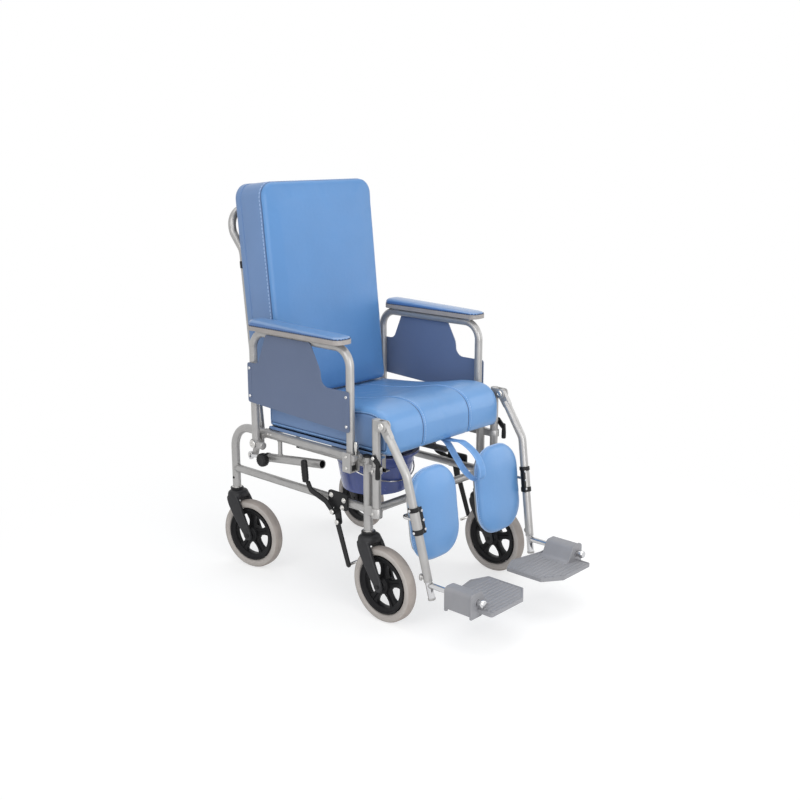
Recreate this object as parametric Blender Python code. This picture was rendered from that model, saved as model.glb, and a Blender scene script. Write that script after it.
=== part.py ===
"""Reclining commode wheelchair, in metres.

The chair faces -Y, +X is its left side and +Z is up. Lengths along Y are counted from the front
wheel stems and heights from the floor. At the end the whole chair is moved along Y, so that the
origin lies on the floor under the middle of its box.
"""

import math

import bmesh
import bpy
from mathutils import Matrix, Vector

# Clearances
GAP = 0.0003
RUNNING = 0.0004
SIDE_PLAY = 0.001
OVERLAP = 0.003

# Facets of round shapes
TUBE_SIDES = 12
PIN_SIDES = 10
BEND_STEPS = 4
CORNER_STEPS = 4
WHEEL_SEGMENTS = 28

# Wheels
WHEEL_DIAMETER = 0.200
TYRE_WIDTH = 0.034
TYRE_DEPTH = 0.023
TYRE_POINTS = 8
TYRE_SQUARENESS = 0.7
RIM_WIDTH = 0.028
RIM_DEPTH = 0.011
HUB_DIAMETER = 0.046
SPOKE_COUNT = 5
SPOKE_WIDTH = 0.017
SPOKE_DEPTH = 0.014
AXLE_DIAMETER = 0.012

# Forks
TRACK = 0.460
WHEELBASE = 0.532
CASTOR_TRAIL = 0.057
FORK_WHEEL_GAP = 0.003
FORK_INSIDE = 0.044
FORK_LEG_THICKNESS = 0.006
FORK_LEG_TOP = 0.040
FORK_LEG_FOOT = 0.030
FORK_CROWN_DEPTH = 0.025
AXLE_NUT_PROUD = 0.0055
STEM_DIAMETER = 0.015
STEM_LENGTH = 0.028
CASTOR_REST_TURN = {"right": 9.4, "left": -6.0}

# Side frames
FRAME_TUBE = 0.024
LOWER_TUBE = 0.022
LOWER_RAIL_LIFT = 0.062
SEAT_RAIL_LIFT = 0.128
FRAME_BEND = 0.065
CROSS_TUBE = 0.022
FRONT_CROSS_DROP = 0.007
REAR_CROSS_AHEAD = 0.050

# Armrests
ARM_TUBE = 0.022
ARM_LUG = 0.003
ARM_HINGE_AHEAD = 0.039
ARM_HINGE_DROP = 0.025
ARM_FRONT_Y = 0.034
ARM_HEIGHT = 0.289
ARM_BEND = 0.048
ARM_BOSS = 0.025
ARM_PIN = 0.012
ARM_PIN_HEAD = 0.022
ARM_PIN_HEAD_DEPTH = 0.004
LUG_HALF = 0.014
LUG_FOOT = 0.013
CRADLE_LENGTH = 0.028
CRADLE_WALL = 0.006
CRADLE_FLOOR = 0.004
CRADLE_HEIGHT = 0.052
ARM_FOOT_DROP = 0.023
ARM_PAD_WIDTH = 0.060
ARM_PAD_SETBACK = 0.002
ARM_PAD_INSET = 0.017
ARM_PAD_OUT = 0.010
ARM_PAD_THICKNESS = 0.025
ARM_PAD_CORNER = 0.022
ARM_PAD_EDGE = 0.007
ARM_PAD_CROWN = 0.004
PANEL_THICKNESS = 0.003
PANEL_BEHIND = 0.010
PANEL_AHEAD = 0.009
PANEL_RISE = 0.001
PANEL_REAR_STEP_DROP = 0.085
PANEL_FRONT_STEP_DROP = 0.108
PANEL_REAR_FOOT_DROP = 0.195
PANEL_FRONT_FOOT_DROP = 0.214
PANEL_TOP_REAR_INSET = 0.080
PANEL_TOP_FRONT_INSET = 0.137
PANEL_REAR_STEP_INSET = 0.044
PANEL_FRONT_STEP_INSET = 0.081
PANEL_STEP_RADIUS = 0.022
PANEL_CORNER = 0.007
LATCH_WIDTH = 0.010
LATCH_THICKNESS = 0.004
LATCH_HEIGHT = 0.042
LATCH_LIFT = 0.012
LATCH_BARREL = 0.008
LATCH_REACH = 0.012

# Backrest
BACK_TUBE = 0.022
BACK_LEAN = 6.0
BACK_HINGE_AHEAD = 0.087
BACK_HINGE_DROP = 0.018
BACK_BOSS = 0.028
BACK_PIN = 0.010
BACK_LUG_HALF = 0.016
BACK_LUG_PROUD = 0.0015
BACK_LUG_DEPTH = 0.0055
BACK_POST_INSET = 0.218
BOARD_FOOT_INSET = 0.045
BOARD_TOP_INSET = 0.048
BOARD_THICKNESS = 0.008
BACK_SIDE_GAP = 0.025
BACK_CUSHION_LIFT = 0.0024
BACK_CUSHION_HEIGHT = 0.593
BACK_CUSHION_THICKNESS = 0.088
BACK_CUSHION_CORNER = 0.042
BACK_CUSHION_EDGE = 0.012
BACK_CUSHION_CROWN = 0.008
BACK_CUSHION_PINCH = 0.004
PUSH_BAR_STUB = 0.038
PUSH_BAR_SETBACK = 0.036
PUSH_BAR_RUN = 0.052
PUSH_BAR_STRAIGHT = 0.0035
PUSH_BAR_BEND = 0.046
PUSH_BAR_KNEE_BEND = 0.040

# Recline rods
RECLINE_RANGE = 50.0
LEVER_LENGTH = 0.060
LEVER_THICKNESS = 0.005
LEVER_HALF = 0.011
ROD_DIAMETER = 0.012
ROD_PIN = 0.007
ROD_EYE_THICKNESS = 0.006
ROD_EYE_WALL = 0.005
ROD_PIN_PROUD = 0.005
ROD_LENGTH = 0.200
GUIDE_TILT = 6.65
GUIDE_DIAMETER = 0.024
GUIDE_SETBACK = 0.072
GUIDE_LENGTH = 0.225
STRUT_DIAMETER = 0.012
STRUT_AHEAD = 0.108
KNOB_DIAMETER = 0.038
KNOB_DEPTH = 0.020
KNOB_STEM = 0.010
KNOB_STEM_LENGTH = 0.007
KNOB_LOBES = 8
KNOB_FLUTE = 0.003
KNOB_SETBACK = 0.014

# Padded forms, as shares of their edge or of their half width
PIPING_ROUND = 0.3
PIPING_GROOVE = 1.6
PIPING_GROOVE_DEPTH = 0.2
CROWN_RINGS = (0.2, 0.45, 0.75)
LEAST_CORNER = 0.02

# Seat
SEAT_BOARD = 0.006
SEAT_BOARD_FRONT_Y = -0.018
SEAT_BOARD_AHEAD = 0.053
SEAT_HOLE_WIDTH = 0.180
SEAT_HOLE_LENGTH = 0.200
SEAT_SIDE_GAP = 0.002
SEAT_AHEAD = 0.057
SEAT_FRONT_Y = -0.066
SEAT_CREST_Y = 0.045
SEAT_REAR_HEIGHT = 0.066
SEAT_FRONT_HEIGHT = 0.113
SEAT_FRONT_RADIUS = 0.050
SEAT_CREST_RADIUS = 0.160
SEAT_REAR_RADIUS = 0.018
SEAT_FOOT_RADIUS = 0.012
SEAT_SEAM_X = 0.093
SEAT_SEAM_HALF = 0.007
SEAT_SEAM_DEPTH = 0.004
SEAT_EDGE = 0.010
SEAT_CROWN = 0.005
SEAT_PINCH = 0.003
STRAP_WIDTH = 0.026
STRAP_THICKNESS = 0.0025
STRAP_X = 0.018
STRAP_ROOT_INSET = 0.014
STRAP_SEWN = 0.026

# Points of the strap's loop, along Y from its root and up from the cushion's underside
STRAP_LOOP = (
    (-0.063, -0.0076),
    (-0.098, -0.0206),
    (-0.119, -0.0466),
    (-0.118, -0.0796),
    (-0.098, -0.0906),
    (-0.072, -0.0786),
    (-0.046, -0.0566),
    (-0.020, -0.0316),
    (-0.008, -0.0126),
)

# Pail
PAIL_Y = 0.195
PAIL_TOP_DIAMETER = 0.223
PAIL_FOOT_DIAMETER = 0.186
PAIL_RIM_DIAMETER = 0.250
PAIL_RIM_DEPTH = 0.006
PAIL_HEIGHT = 0.112
PAIL_WALL = 0.003
PAIL_SEGMENTS = 28
RUNNER_DROP = 0.072
RUNNER_CLEARANCE = 0.006
RUNNER_WALL = 0.004
RUNNER_LEDGE = 0.020
RUNNER_FRONT_Y = 0.030
RUNNER_REAR_INSET = 0.014
BAIL_CLEARANCE = 0.0046
BAIL_WIRE = 0.0045
BAIL_DROP = 0.018
BAIL_TILT = 26.0
BAIL_PROUD = 0.0075
BAIL_POINTS = 16

# Legrests
LEG_TUBE = 0.022
LEG_TUBE_WALL = 0.0016
LEG_POST_OFFSET = 0.010
LEG_POST_Y = -0.040
LEG_POST_FOOT_DROP = 0.005
LEG_PIVOT_AHEAD = 0.025
LEG_PIVOT_LIFT = 0.106
CLEVIS_HALF_HEIGHT = 0.014
CLEVIS_CHEEK = 0.004
CLEVIS_PIN = 0.010
CLEVIS_PIN_PROUD = 0.002
TONGUE_LENGTH = 0.034
TONGUE_HALF = 0.0125
HANGER_START = 0.026
HANGER_KNEE_INSET = 0.002
HANGER_KNEE_AHEAD = 0.075
HANGER_KNEE_DROP = 0.114
HANGER_FOOT_INSET = 0.02356
HANGER_FOOT_AHEAD = 0.05151
HANGER_FOOT_DROP = 0.2685
HANGER_BEND = 0.050
COLLAR_DIAMETER = 0.029
COLLAR_HEIGHT = 0.020
COLLAR_DROP = 0.003
COLLAR_ARM = 0.012
CUP_FLOOR = 0.006
LEG_LEVER_LIFT = 0.022
LEG_LEVER_SETBACK = 0.004
LEG_LEVER_PIN = 0.008
LEG_LEVER_THICKNESS = 0.004
LEG_LEVER_HALF = 0.008
LEG_LEVER_REACH = 0.017
LEG_LEVER_DROP = 0.016
LEG_GRIP_DIAMETER = 0.013
LEG_GRIP_LENGTH = 0.044
FOOT_TUBE_INSIDE = 0.100
FOOT_BORE_SPARE = 0.028
FOOT_TUBE_DROP = 0.0465
FOOT_AXLE = 0.015
FOOT_AXLE_DROP = 0.0085
FOOT_AXLE_PAST = 0.0195
FOOT_PLATE_DROP = 0.017
FOOT_PLATE_THICKNESS = 0.010
FOOT_PLATE_AHEAD = 0.0325
FOOT_PLATE_LENGTH = 0.167
FOOT_INNER_X = 0.038
FOOT_CHAMFER_X = 0.050
FOOT_CHAMFER_Y = 0.036
FOOT_REAR_CHAMFER_Y = 0.021
FOOT_CORNER = 0.006
FOOT_BOX_WIDTH = 0.045
FOOT_BOX_AHEAD = 0.0695
FOOT_BOX_LENGTH = 0.0855
FOOT_BOX_TOP = 0.022
FOOT_BOX_FOOT = 0.035
FOOT_BOX_CORNER = 0.012

# Calf pads
CALF_LEAN = 7.0
CALF_PAD_WIDTH = 0.177
CALF_PAD_HEIGHT = 0.238
CALF_PAD_INSET = 0.0195
CALF_PAD_BELOW = 0.1295
CALF_PAD_SETBACK = 0.0125
CALF_PAD_THICKNESS = 0.024
CALF_PAD_CORNER = 0.070
CALF_PAD_EDGE = 0.010
CALF_PAD_CROWN = 0.006
CALF_PAD_PINCH = 0.002
CALF_PLATE_THICKNESS = 0.004
CALF_PLATE_INSET = 0.004
CALF_ROD = 0.008
CALF_ROD_BEND = 0.012
CALF_ROD_PAST = 0.034
CALF_SIDE_GAP = 0.003
CALF_AXIS_SETBACK = 0.0075
CALF_PIVOT_DROP = 0.113
CALF_COLLAR_DIAMETER = 0.029
CALF_COLLAR_LENGTH = 0.070
CALF_EAR = 0.017
CALF_EAR_LENGTH = 0.018
CALF_EAR_SPREAD = 0.030

# Brakes, with the plate's edges and the points along Y from the front stems and up from the lower rail
BRAKE_PLATE = 0.006
BRAKE_PLATE_FRONT_Y = 0.060
BRAKE_PLATE_REAR_Y = 0.130
BRAKE_PLATE_RISE = 0.028
BRAKE_PLATE_DROP = 0.018
BRAKE_PLATE_CORNER = 0.006
BRAKE_EAR_HALF = 0.016
BRAKE_PIN = 0.008
BRAKE_LAYER = 0.005
BRAKE_LAYER_GAP = 0.0007
LEVER_PIVOT_POINT = (0.104, -0.025)
LEVER_ELBOW_POINT = (0.130, -0.002)
LEVER_WRIST_POINT = (0.187, 0.015)
LEVER_NECK_POINT = (0.199, 0.036)
GRIP_TOP_POINT = (0.205, 0.097)
BAR_PIVOT_POINT = (0.093, -0.053)
BRAKE_LEVER_HALF = 0.007
BRAKE_GRIP = 0.019
BRAKE_TYRE_GAP = 0.0145
BRAKE_REST_ANGLE = 14.16
BRAKE_BAR_HALF = 0.008
BRAKE_ROD = 0.008
BRAKE_ROD_LENGTH = 0.040

# Places that follow from the values above
SIDES = (("right", -1), ("left", 1))
AXLE_Z = WHEEL_DIAMETER / 2
FORK_TOP_Z = WHEEL_DIAMETER + FORK_WHEEL_GAP + FORK_CROWN_DEPTH
FRAME_FOOT_Z = FORK_TOP_Z + GAP
LOWER_RAIL_Z = FORK_TOP_Z + LOWER_RAIL_LIFT
SEAT_RAIL_Z = LOWER_RAIL_Z + SEAT_RAIL_LIFT
FRONT_CROSS_Z = LOWER_RAIL_Z - FRONT_CROSS_DROP
FRAME_X = TRACK / 2
FRAME_INNER_X = FRAME_X - FRAME_TUBE / 2
FRAME_OUTER_X = FRAME_X + FRAME_TUBE / 2
BACK_HINGE_Y = WHEELBASE - BACK_HINGE_AHEAD
BACK_HINGE_Z = SEAT_RAIL_Z - BACK_HINGE_DROP
REAR_CROSS_Y = BACK_HINGE_Y - REAR_CROSS_AHEAD
STRUT_Y = BACK_HINGE_Y - STRUT_AHEAD
ARM_X = FRAME_OUTER_X + ARM_LUG + SIDE_PLAY + ARM_TUBE / 2
ARM_HINGE_Y = BACK_HINGE_Y - ARM_HINGE_AHEAD
ARM_HINGE_Z = SEAT_RAIL_Z - ARM_HINGE_DROP
ARM_FOOT_Z = SEAT_RAIL_Z - ARM_FOOT_DROP
ARM_TOP_Z = SEAT_RAIL_Z + ARM_HEIGHT
ARM_PAD_FRONT_Y = ARM_FRONT_Y + ARM_PAD_SETBACK
ARM_PAD_REAR_Y = ARM_HINGE_Y - ARM_PAD_INSET
PANEL_REAR_Y = ARM_HINGE_Y + PANEL_BEHIND
PANEL_FRONT_Y = ARM_FRONT_Y - PANEL_AHEAD
PANEL_TOP_Z = ARM_TOP_Z + PANEL_RISE
PANEL_REAR_STEP_Z = PANEL_TOP_Z - PANEL_REAR_STEP_DROP
PANEL_FRONT_STEP_Z = PANEL_TOP_Z - PANEL_FRONT_STEP_DROP
PANEL_REAR_FOOT_Z = PANEL_TOP_Z - PANEL_REAR_FOOT_DROP
PANEL_FRONT_FOOT_Z = PANEL_TOP_Z - PANEL_FRONT_FOOT_DROP
PANEL_TOP_REAR_Y = PANEL_REAR_Y - PANEL_TOP_REAR_INSET
PANEL_TOP_FRONT_Y = PANEL_FRONT_Y + PANEL_TOP_FRONT_INSET
PANEL_REAR_STEP_Y = PANEL_REAR_Y - PANEL_REAR_STEP_INSET
PANEL_FRONT_STEP_Y = PANEL_FRONT_Y + PANEL_FRONT_STEP_INSET
LATCH_PIVOT_Z = SEAT_RAIL_Z + LATCH_LIFT
BOARD_Z = SEAT_RAIL_Z + FRAME_TUBE / 2 + GAP
SEAT_Z = BOARD_Z + SEAT_BOARD + GAP
SEAT_BOARD_REAR_Y = BACK_HINGE_Y - SEAT_BOARD_AHEAD
SEAT_REAR_Y = BACK_HINGE_Y - SEAT_AHEAD
STRAP_ROOT_Y = SEAT_FRONT_Y + STRAP_ROOT_INSET
BACK_LUG_X = FRAME_INNER_X - BACK_LUG_PROUD
BACK_POST_X = BACK_LUG_X - SIDE_PLAY - BACK_TUBE / 2
BACK_CUSHION_WIDTH = 2 * (ARM_X + ARM_PAD_OUT - ARM_PAD_WIDTH / 2 - BACK_SIDE_GAP)
BACK_CUSHION_BOTTOM = SEAT_Z + SEAT_REAR_HEIGHT - BACK_HINGE_Z + BACK_CUSHION_LIFT
BACK_CUSHION_TOP = BACK_CUSHION_BOTTOM + BACK_CUSHION_HEIGHT
BACK_POST_TOP = BACK_CUSHION_TOP - BACK_POST_INSET
BOARD_BOTTOM = BACK_CUSHION_BOTTOM + BOARD_FOOT_INSET
BOARD_TOP = BACK_CUSHION_TOP - BOARD_TOP_INSET
PUSH_BAR_KNEE = BACK_POST_TOP + PUSH_BAR_STUB
PUSH_BAR_SHOULDER = PUSH_BAR_KNEE + PUSH_BAR_RUN
PUSH_BAR_KNEE_REACH = PUSH_BAR_KNEE_BEND * math.tan(math.atan2(PUSH_BAR_SETBACK, PUSH_BAR_RUN) / 2)
PUSH_BAR_TOP = PUSH_BAR_SHOULDER + PUSH_BAR_KNEE_REACH + PUSH_BAR_STRAIGHT + PUSH_BAR_BEND
RUNNER_X = PAIL_RIM_DIAMETER / 2 + RUNNER_CLEARANCE
RUNNER_REAR_Y = SEAT_BOARD_REAR_Y - RUNNER_REAR_INSET
LEDGE_Z = BOARD_Z - RUNNER_DROP
PAIL_RIM_Z = LEDGE_Z + RUNNER_WALL + GAP
LEG_POST_X = FRAME_X + LEG_POST_OFFSET
LEG_POST_FOOT_Z = LOWER_RAIL_Z - LEG_POST_FOOT_DROP
LEG_PIVOT_Y = LEG_POST_Y - LEG_PIVOT_AHEAD
LEG_PIVOT_Z = SEAT_RAIL_Z + LEG_PIVOT_LIFT
LEG_LEVER_Z = SEAT_RAIL_Z + LEG_LEVER_LIFT
COLLAR_TOP_Z = SEAT_RAIL_Z - COLLAR_DROP
SEAT_HALF = LEG_POST_X - LEG_TUBE / 2 - CLEVIS_PIN_PROUD - SEAT_SIDE_GAP
HANGER_KNEE_X = LEG_POST_X - HANGER_KNEE_INSET
HANGER_KNEE_Y = LEG_PIVOT_Y - HANGER_KNEE_AHEAD
HANGER_KNEE_Z = LEG_PIVOT_Z - HANGER_KNEE_DROP
HANGER_FOOT_X = HANGER_KNEE_X - HANGER_FOOT_INSET
HANGER_FOOT_Y = HANGER_KNEE_Y - HANGER_FOOT_AHEAD
HANGER_FOOT_Z = HANGER_KNEE_Z - HANGER_FOOT_DROP
FOOT_TUBE = LEG_TUBE - 2 * LEG_TUBE_WALL - 2 * RUNNING
FOOT_BORE_DEPTH = FOOT_TUBE_INSIDE + FOOT_BORE_SPARE
FOOT_TUBE_FOOT_Z = HANGER_FOOT_Z - FOOT_TUBE_DROP
FOOT_AXLE_Z = HANGER_FOOT_Z - FOOT_AXLE_DROP
FOOT_PLATE_TOP_Z = FOOT_AXLE_Z - FOOT_PLATE_DROP
FOOT_REAR_Y = HANGER_FOOT_Y - FOOT_PLATE_AHEAD
FOOT_FRONT_Y = FOOT_REAR_Y - FOOT_PLATE_LENGTH
FOOT_BOX_REAR_Y = HANGER_FOOT_Y - FOOT_BOX_AHEAD
FOOT_BOX_FRONT_Y = FOOT_BOX_REAR_Y - FOOT_BOX_LENGTH
FOOT_AXLE_TIP_Y = FOOT_BOX_FRONT_Y - FOOT_AXLE_PAST
CALF_PAD_X = LEG_POST_X - CALF_PAD_INSET - CALF_PAD_WIDTH / 2
CALF_PAD_BACK_Y = HANGER_KNEE_Y + CALF_PAD_SETBACK
CALF_PIVOT_Z = HANGER_KNEE_Z - CALF_PIVOT_DROP
CALF_PAD_FOOT_Z = CALF_PIVOT_Z - CALF_PAD_BELOW
CALF_PAD_TOP_Z = CALF_PAD_FOOT_Z + CALF_PAD_HEIGHT
CALF_ROD_END_X = CALF_PAD_X - CALF_ROD_PAST
BRAKE_PLATE_TOP_Z = LOWER_RAIL_Z + BRAKE_PLATE_RISE
BRAKE_PLATE_FOOT_Z = LOWER_RAIL_Z - BRAKE_PLATE_DROP
BRAKE_ROD_REACH = WHEEL_DIAMETER / 2 + BRAKE_TYRE_GAP


def over_rail(point):
    """A point in the YZ plane from its place along Y and its height over the lower rail."""
    return (point[0], LOWER_RAIL_Z + point[1])


def behind_tyre():
    """The place of the brake's cross rod behind the front tyre, in the YZ plane."""
    turn = math.radians(BRAKE_REST_ANGLE)
    return (BRAKE_ROD_REACH * math.cos(turn) - CASTOR_TRAIL, AXLE_Z + BRAKE_ROD_REACH * math.sin(turn))


BRAKE_LEVER_PIVOT = over_rail(LEVER_PIVOT_POINT)
BRAKE_LEVER_ELBOW = over_rail(LEVER_ELBOW_POINT)
BRAKE_LEVER_WRIST = over_rail(LEVER_WRIST_POINT)
BRAKE_LEVER_NECK = over_rail(LEVER_NECK_POINT)
BRAKE_GRIP_TOP = over_rail(GRIP_TOP_POINT)
BRAKE_BAR_PIVOT = over_rail(BAR_PIVOT_POINT)
BRAKE_BAR_FOOT = behind_tyre()


def start():
    """Empties the scene and makes the parent of every piece."""
    for old in list(bpy.data.objects):
        bpy.data.objects.remove(old, do_unlink=True)
    chair = bpy.data.objects.new("chair", None)
    bpy.context.scene.collection.objects.link(chair)
    return chair


def paint(name, colour, roughness, metallic=0.0):
    made = bpy.data.materials.new(name)
    made.use_nodes = True
    shader = made.node_tree.nodes["Principled BSDF"]
    shader.inputs["Base Color"].default_value = (*colour, 1.0)
    shader.inputs["Roughness"].default_value = roughness
    shader.inputs["Metallic"].default_value = metallic
    return made


CHAIR = start()
SILVER = paint("silver_paint", (0.52, 0.53, 0.55), 0.35, 0.6)
BLUE = paint("blue_vinyl", (0.13, 0.33, 0.62), 0.45)
PANEL_BLUE = paint("panel_plastic", (0.13, 0.16, 0.27), 0.5)
BLACK = paint("black_plastic", (0.02, 0.02, 0.022), 0.45)
FORK_GREY = paint("fork_plastic", (0.04, 0.042, 0.047), 0.4)
TYRE_GREY = paint("tyre_grey", (0.42, 0.39, 0.37), 0.8)
FOOT_GREY = paint("footplate_plastic", (0.22, 0.23, 0.25), 0.55)
CHROME = paint("bright_steel", (0.7, 0.7, 0.72), 0.15, 1.0)
PAIL_BLUE = paint("pail_plastic", (0.12, 0.15, 0.36), 0.35)
BOARD_GREY = paint("board_laminate", (0.3, 0.3, 0.32), 0.6)


# Shapes

def mesh_of(points, faces):
    """A closed mesh with its faces turned outwards."""
    mesh = bpy.data.meshes.new("shape")
    mesh.from_pydata([tuple(point) for point in points], [], faces)
    edit = bmesh.new()
    edit.from_mesh(mesh)
    bmesh.ops.recalc_face_normals(edit, faces=edit.faces)
    edit.to_mesh(mesh)
    edit.free()
    return mesh


def loft(rings):
    """A skin over rings of equally many points, with flat ends."""
    count = len(rings[0])
    points = [point for ring in rings for point in ring]
    faces = []
    for row in range(len(rings) - 1):
        for k in range(count):
            after = (k + 1) % count
            low = row * count
            high = low + count
            faces.append((low + k, low + after, high + after, high + k))
    faces.append(tuple(reversed(range(count))))
    faces.append(tuple(range(len(points) - count, len(points))))
    return mesh_of(points, faces)


def fillet(before, corner, after, radius, steps):
    """Points of the arc that rounds a corner between two straight runs."""
    corner = Vector(corner)
    back = (Vector(before) - corner).normalized()
    ahead = (Vector(after) - corner).normalized()
    angle = back.angle(ahead)
    reach = radius / math.tan(angle / 2)
    centre = corner + (back + ahead).normalized() * radius / math.sin(angle / 2)
    first = corner + back * reach - centre
    last = corner + ahead * reach - centre
    sweep = math.pi - angle
    arc = []
    for k in range(steps + 1):
        share = k / steps
        mixed = first * math.sin((1 - share) * sweep) + last * math.sin(share * sweep)
        arc.append(centre + mixed / math.sin(sweep))
    return arc


def bent(corners, radius, steps=BEND_STEPS):
    """An open path whose inner corners are rounded."""
    path = [Vector(corners[0])]
    for before, corner, after in zip(corners, corners[1:], corners[2:]):
        path += fillet(before, corner, after, radius, steps)
    return path + [Vector(corners[-1])]


def rounded(corners, steps=CORNER_STEPS):
    """A closed outline from (a, b, radius) corners."""
    outline = []
    for k, (a, b, radius) in enumerate(corners):
        before = corners[k - 1][:2]
        after = corners[(k + 1) % len(corners)][:2]
        outline += fillet(before, (a, b), after, radius, steps)
    return outline


def section_frames(path):
    """A point, a normal and a binormal at each point of a path, carried along without twist."""
    path = [Vector(point) for point in path]
    normal = None
    frames = []
    for k, point in enumerate(path):
        along = (path[min(k + 1, len(path) - 1)] - path[max(k - 1, 0)]).normalized()
        if normal is None:
            guide = Vector((1, 0, 0)) if abs(along.x) < 0.9 else Vector((0, 0, 1))
            normal = guide
        normal = (normal - along * normal.dot(along)).normalized()
        frames.append((point, normal, along.cross(normal)))
    return frames


def tube(path, diameter, sides=TUBE_SIDES):
    """A round bar along a path."""
    rings = []
    for point, normal, binormal in section_frames(path):
        turns = [2 * math.pi * (k + 0.5) / sides for k in range(sides)]
        radius = diameter / 2
        rings.append([point + (normal * math.cos(t) + binormal * math.sin(t)) * radius for t in turns])
    return loft(rings)


def ribbon(path, width, thickness):
    """A flat band along a path, its width along X at the start."""
    rings = []
    for point, normal, binormal in section_frames(path):
        across = normal * width / 2
        up = binormal * thickness / 2
        rings.append([point + across + up, point - across + up, point - across - up, point + across - up])
    return loft(rings)


def placed(axis, pair, height):
    """A point from two outline coordinates and a height along an axis."""
    a, b = pair
    return {"x": (height, a, b), "y": (a, height, b), "z": (a, b, height)}[axis]


def prism(outline, axis, low, high):
    return loft([[placed(axis, pair, height) for pair in outline] for height in (low, high)])


def box(low, high):
    outline = [(low[0], low[1]), (high[0], low[1]), (high[0], high[1]), (low[0], high[1])]
    return prism(outline, "z", low[2], high[2])


def side_box(s, inner, outer, low, high):
    """A box between two distances from the middle plane, on side s."""
    near, far = sorted((s * inner, s * outer))
    return box((near, low[0], low[1]), (far, high[0], high[1]))


def across(s, inner, outer, place, diameter, sides=PIN_SIDES):
    """A round bar along X between two distances from the middle plane."""
    return tube([(s * inner, *place), (s * outer, *place)], diameter, sides)


def turned(profile, axis, centre, segments):
    """A ring turned from a closed profile of (radius, height) points."""
    rings = []
    for k in range(segments):
        turn = 2 * math.pi * k / segments
        ring = []
        for radius, height in profile:
            pair = (radius * math.cos(turn), radius * math.sin(turn))
            ring.append(Vector(placed(axis, pair, height)) + Vector(centre))
        rings.append(ring)
    count = len(profile)
    points = [point for ring in rings for point in ring]
    faces = []
    for row in range(segments):
        low = row * count
        high = (row + 1) % segments * count
        for k in range(count):
            after = (k + 1) % count
            faces.append((low + k, low + after, high + after, high + k))
    return mesh_of(points, faces)


def capsule(first, last, first_radius, last_radius, steps=6):
    """The outline round two circles of one bar."""
    first = Vector(first)
    last = Vector(last)
    run = last - first
    heading = math.atan2(run.y, run.x)
    half = math.pi / 2 - math.asin((first_radius - last_radius) / run.length)
    outline = []
    for centre, radius, begin, sweep in (
        (last, last_radius, heading - half, 2 * half),
        (first, first_radius, heading + half, 2 * math.pi - 2 * half),
    ):
        for k in range(steps + 1):
            turn = begin + sweep * k / steps
            outline.append(centre + Vector((math.cos(turn), math.sin(turn))) * radius)
    return outline


def bar_outline(path, half, steps=4):
    """The outline of a flat bar that follows a bent line, with round ends."""
    path = [Vector(point) for point in path]
    left = []
    right = []
    for k, point in enumerate(path[1:-1], 1):
        back = (point - path[k - 1]).normalized()
        ahead = (path[k + 1] - point).normalized()
        mitre = (back + ahead).normalized()
        side = Vector((-mitre.y, mitre.x)) * half / mitre.dot(ahead)
        left.append(point + side)
        right.insert(0, point - side)
    outline = []
    for end, run, flank in ((path[-1], path[-1] - path[-2], right), (path[0], path[0] - path[1], left)):
        heading = math.atan2(run.y, run.x)
        for k in range(steps + 1):
            turn = heading + math.pi / 2 - math.pi * k / steps
            outline.append(end + Vector((math.cos(turn), math.sin(turn))) * half)
        outline += flank
    return outline


def cut_and_joined(base, *steps):
    """The base mesh after unions ("+", mesh) and cuts ("-", mesh), in order."""
    made = bpy.data.objects.new("base", base)
    bpy.context.scene.collection.objects.link(made)
    tools = []
    for sign, mesh in steps:
        tool = bpy.data.objects.new("tool", mesh)
        bpy.context.scene.collection.objects.link(tool)
        tools.append(tool)
        change = made.modifiers.new("change", "BOOLEAN")
        change.operation = "UNION" if sign == "+" else "DIFFERENCE"
        change.object = tool
        change.solver = "EXACT"
    graph = bpy.context.evaluated_depsgraph_get()
    result = bpy.data.meshes.new_from_object(made.evaluated_get(graph))
    for used in [made, *tools]:
        bpy.data.objects.remove(used, do_unlink=True)
    return result


def piece(name, mesh, finish, about=(0, 0, 0), at=None, turn=(0, 0, 0)):
    """One named object. Its mesh is moved so that the object's origin lies at about."""
    if about != (0, 0, 0):
        mesh.transform(Matrix.Translation(-Vector(about)))
    mesh.materials.clear()
    mesh.materials.append(finish)
    mesh.shade_smooth()
    mesh.set_sharp_from_angle(angle=math.radians(35))
    made = bpy.data.objects.new(name, mesh)
    made.location = about if at is None else at
    made.rotation_euler = turn
    made.parent = CHAIR
    bpy.context.scene.collection.objects.link(made)
    return made


# Padded forms

def rounded_loop(half_a, half_b, radius, pinch, side_points=3):
    """A rounded rectangle whose sides are drawn in between its corners."""
    loop = []
    for turn in range(4):
        centre_a = (half_a - radius) * (1, -1, -1, 1)[turn]
        centre_b = (half_b - radius) * (1, 1, -1, -1)[turn]
        for k in range(CORNER_STEPS + 1):
            angle = math.pi / 2 * (turn + k / CORNER_STEPS)
            loop.append((centre_a + radius * math.cos(angle), centre_b + radius * math.sin(angle)))
        next_a = (half_a - radius) * (-1, -1, 1, 1)[turn]
        next_b = (half_b - radius) * (1, -1, -1, 1)[turn]
        angle = math.pi / 2 * (turn + 1)
        end = (next_a + radius * math.cos(angle), next_b + radius * math.sin(angle))
        begin = loop[-1]
        for k in range(1, side_points + 1):
            share = k / (side_points + 1)
            loop.append(tuple(b + (e - b) * share for b, e in zip(begin, end)))
    drawn = []
    for a, b in loop:
        narrow_a = 1 - pinch / half_a * (1 - (b / half_b) ** 2)
        narrow_b = 1 - pinch / half_b * (1 - (a / half_a) ** 2)
        drawn.append((a * narrow_a, b * narrow_b))
    return drawn


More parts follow.
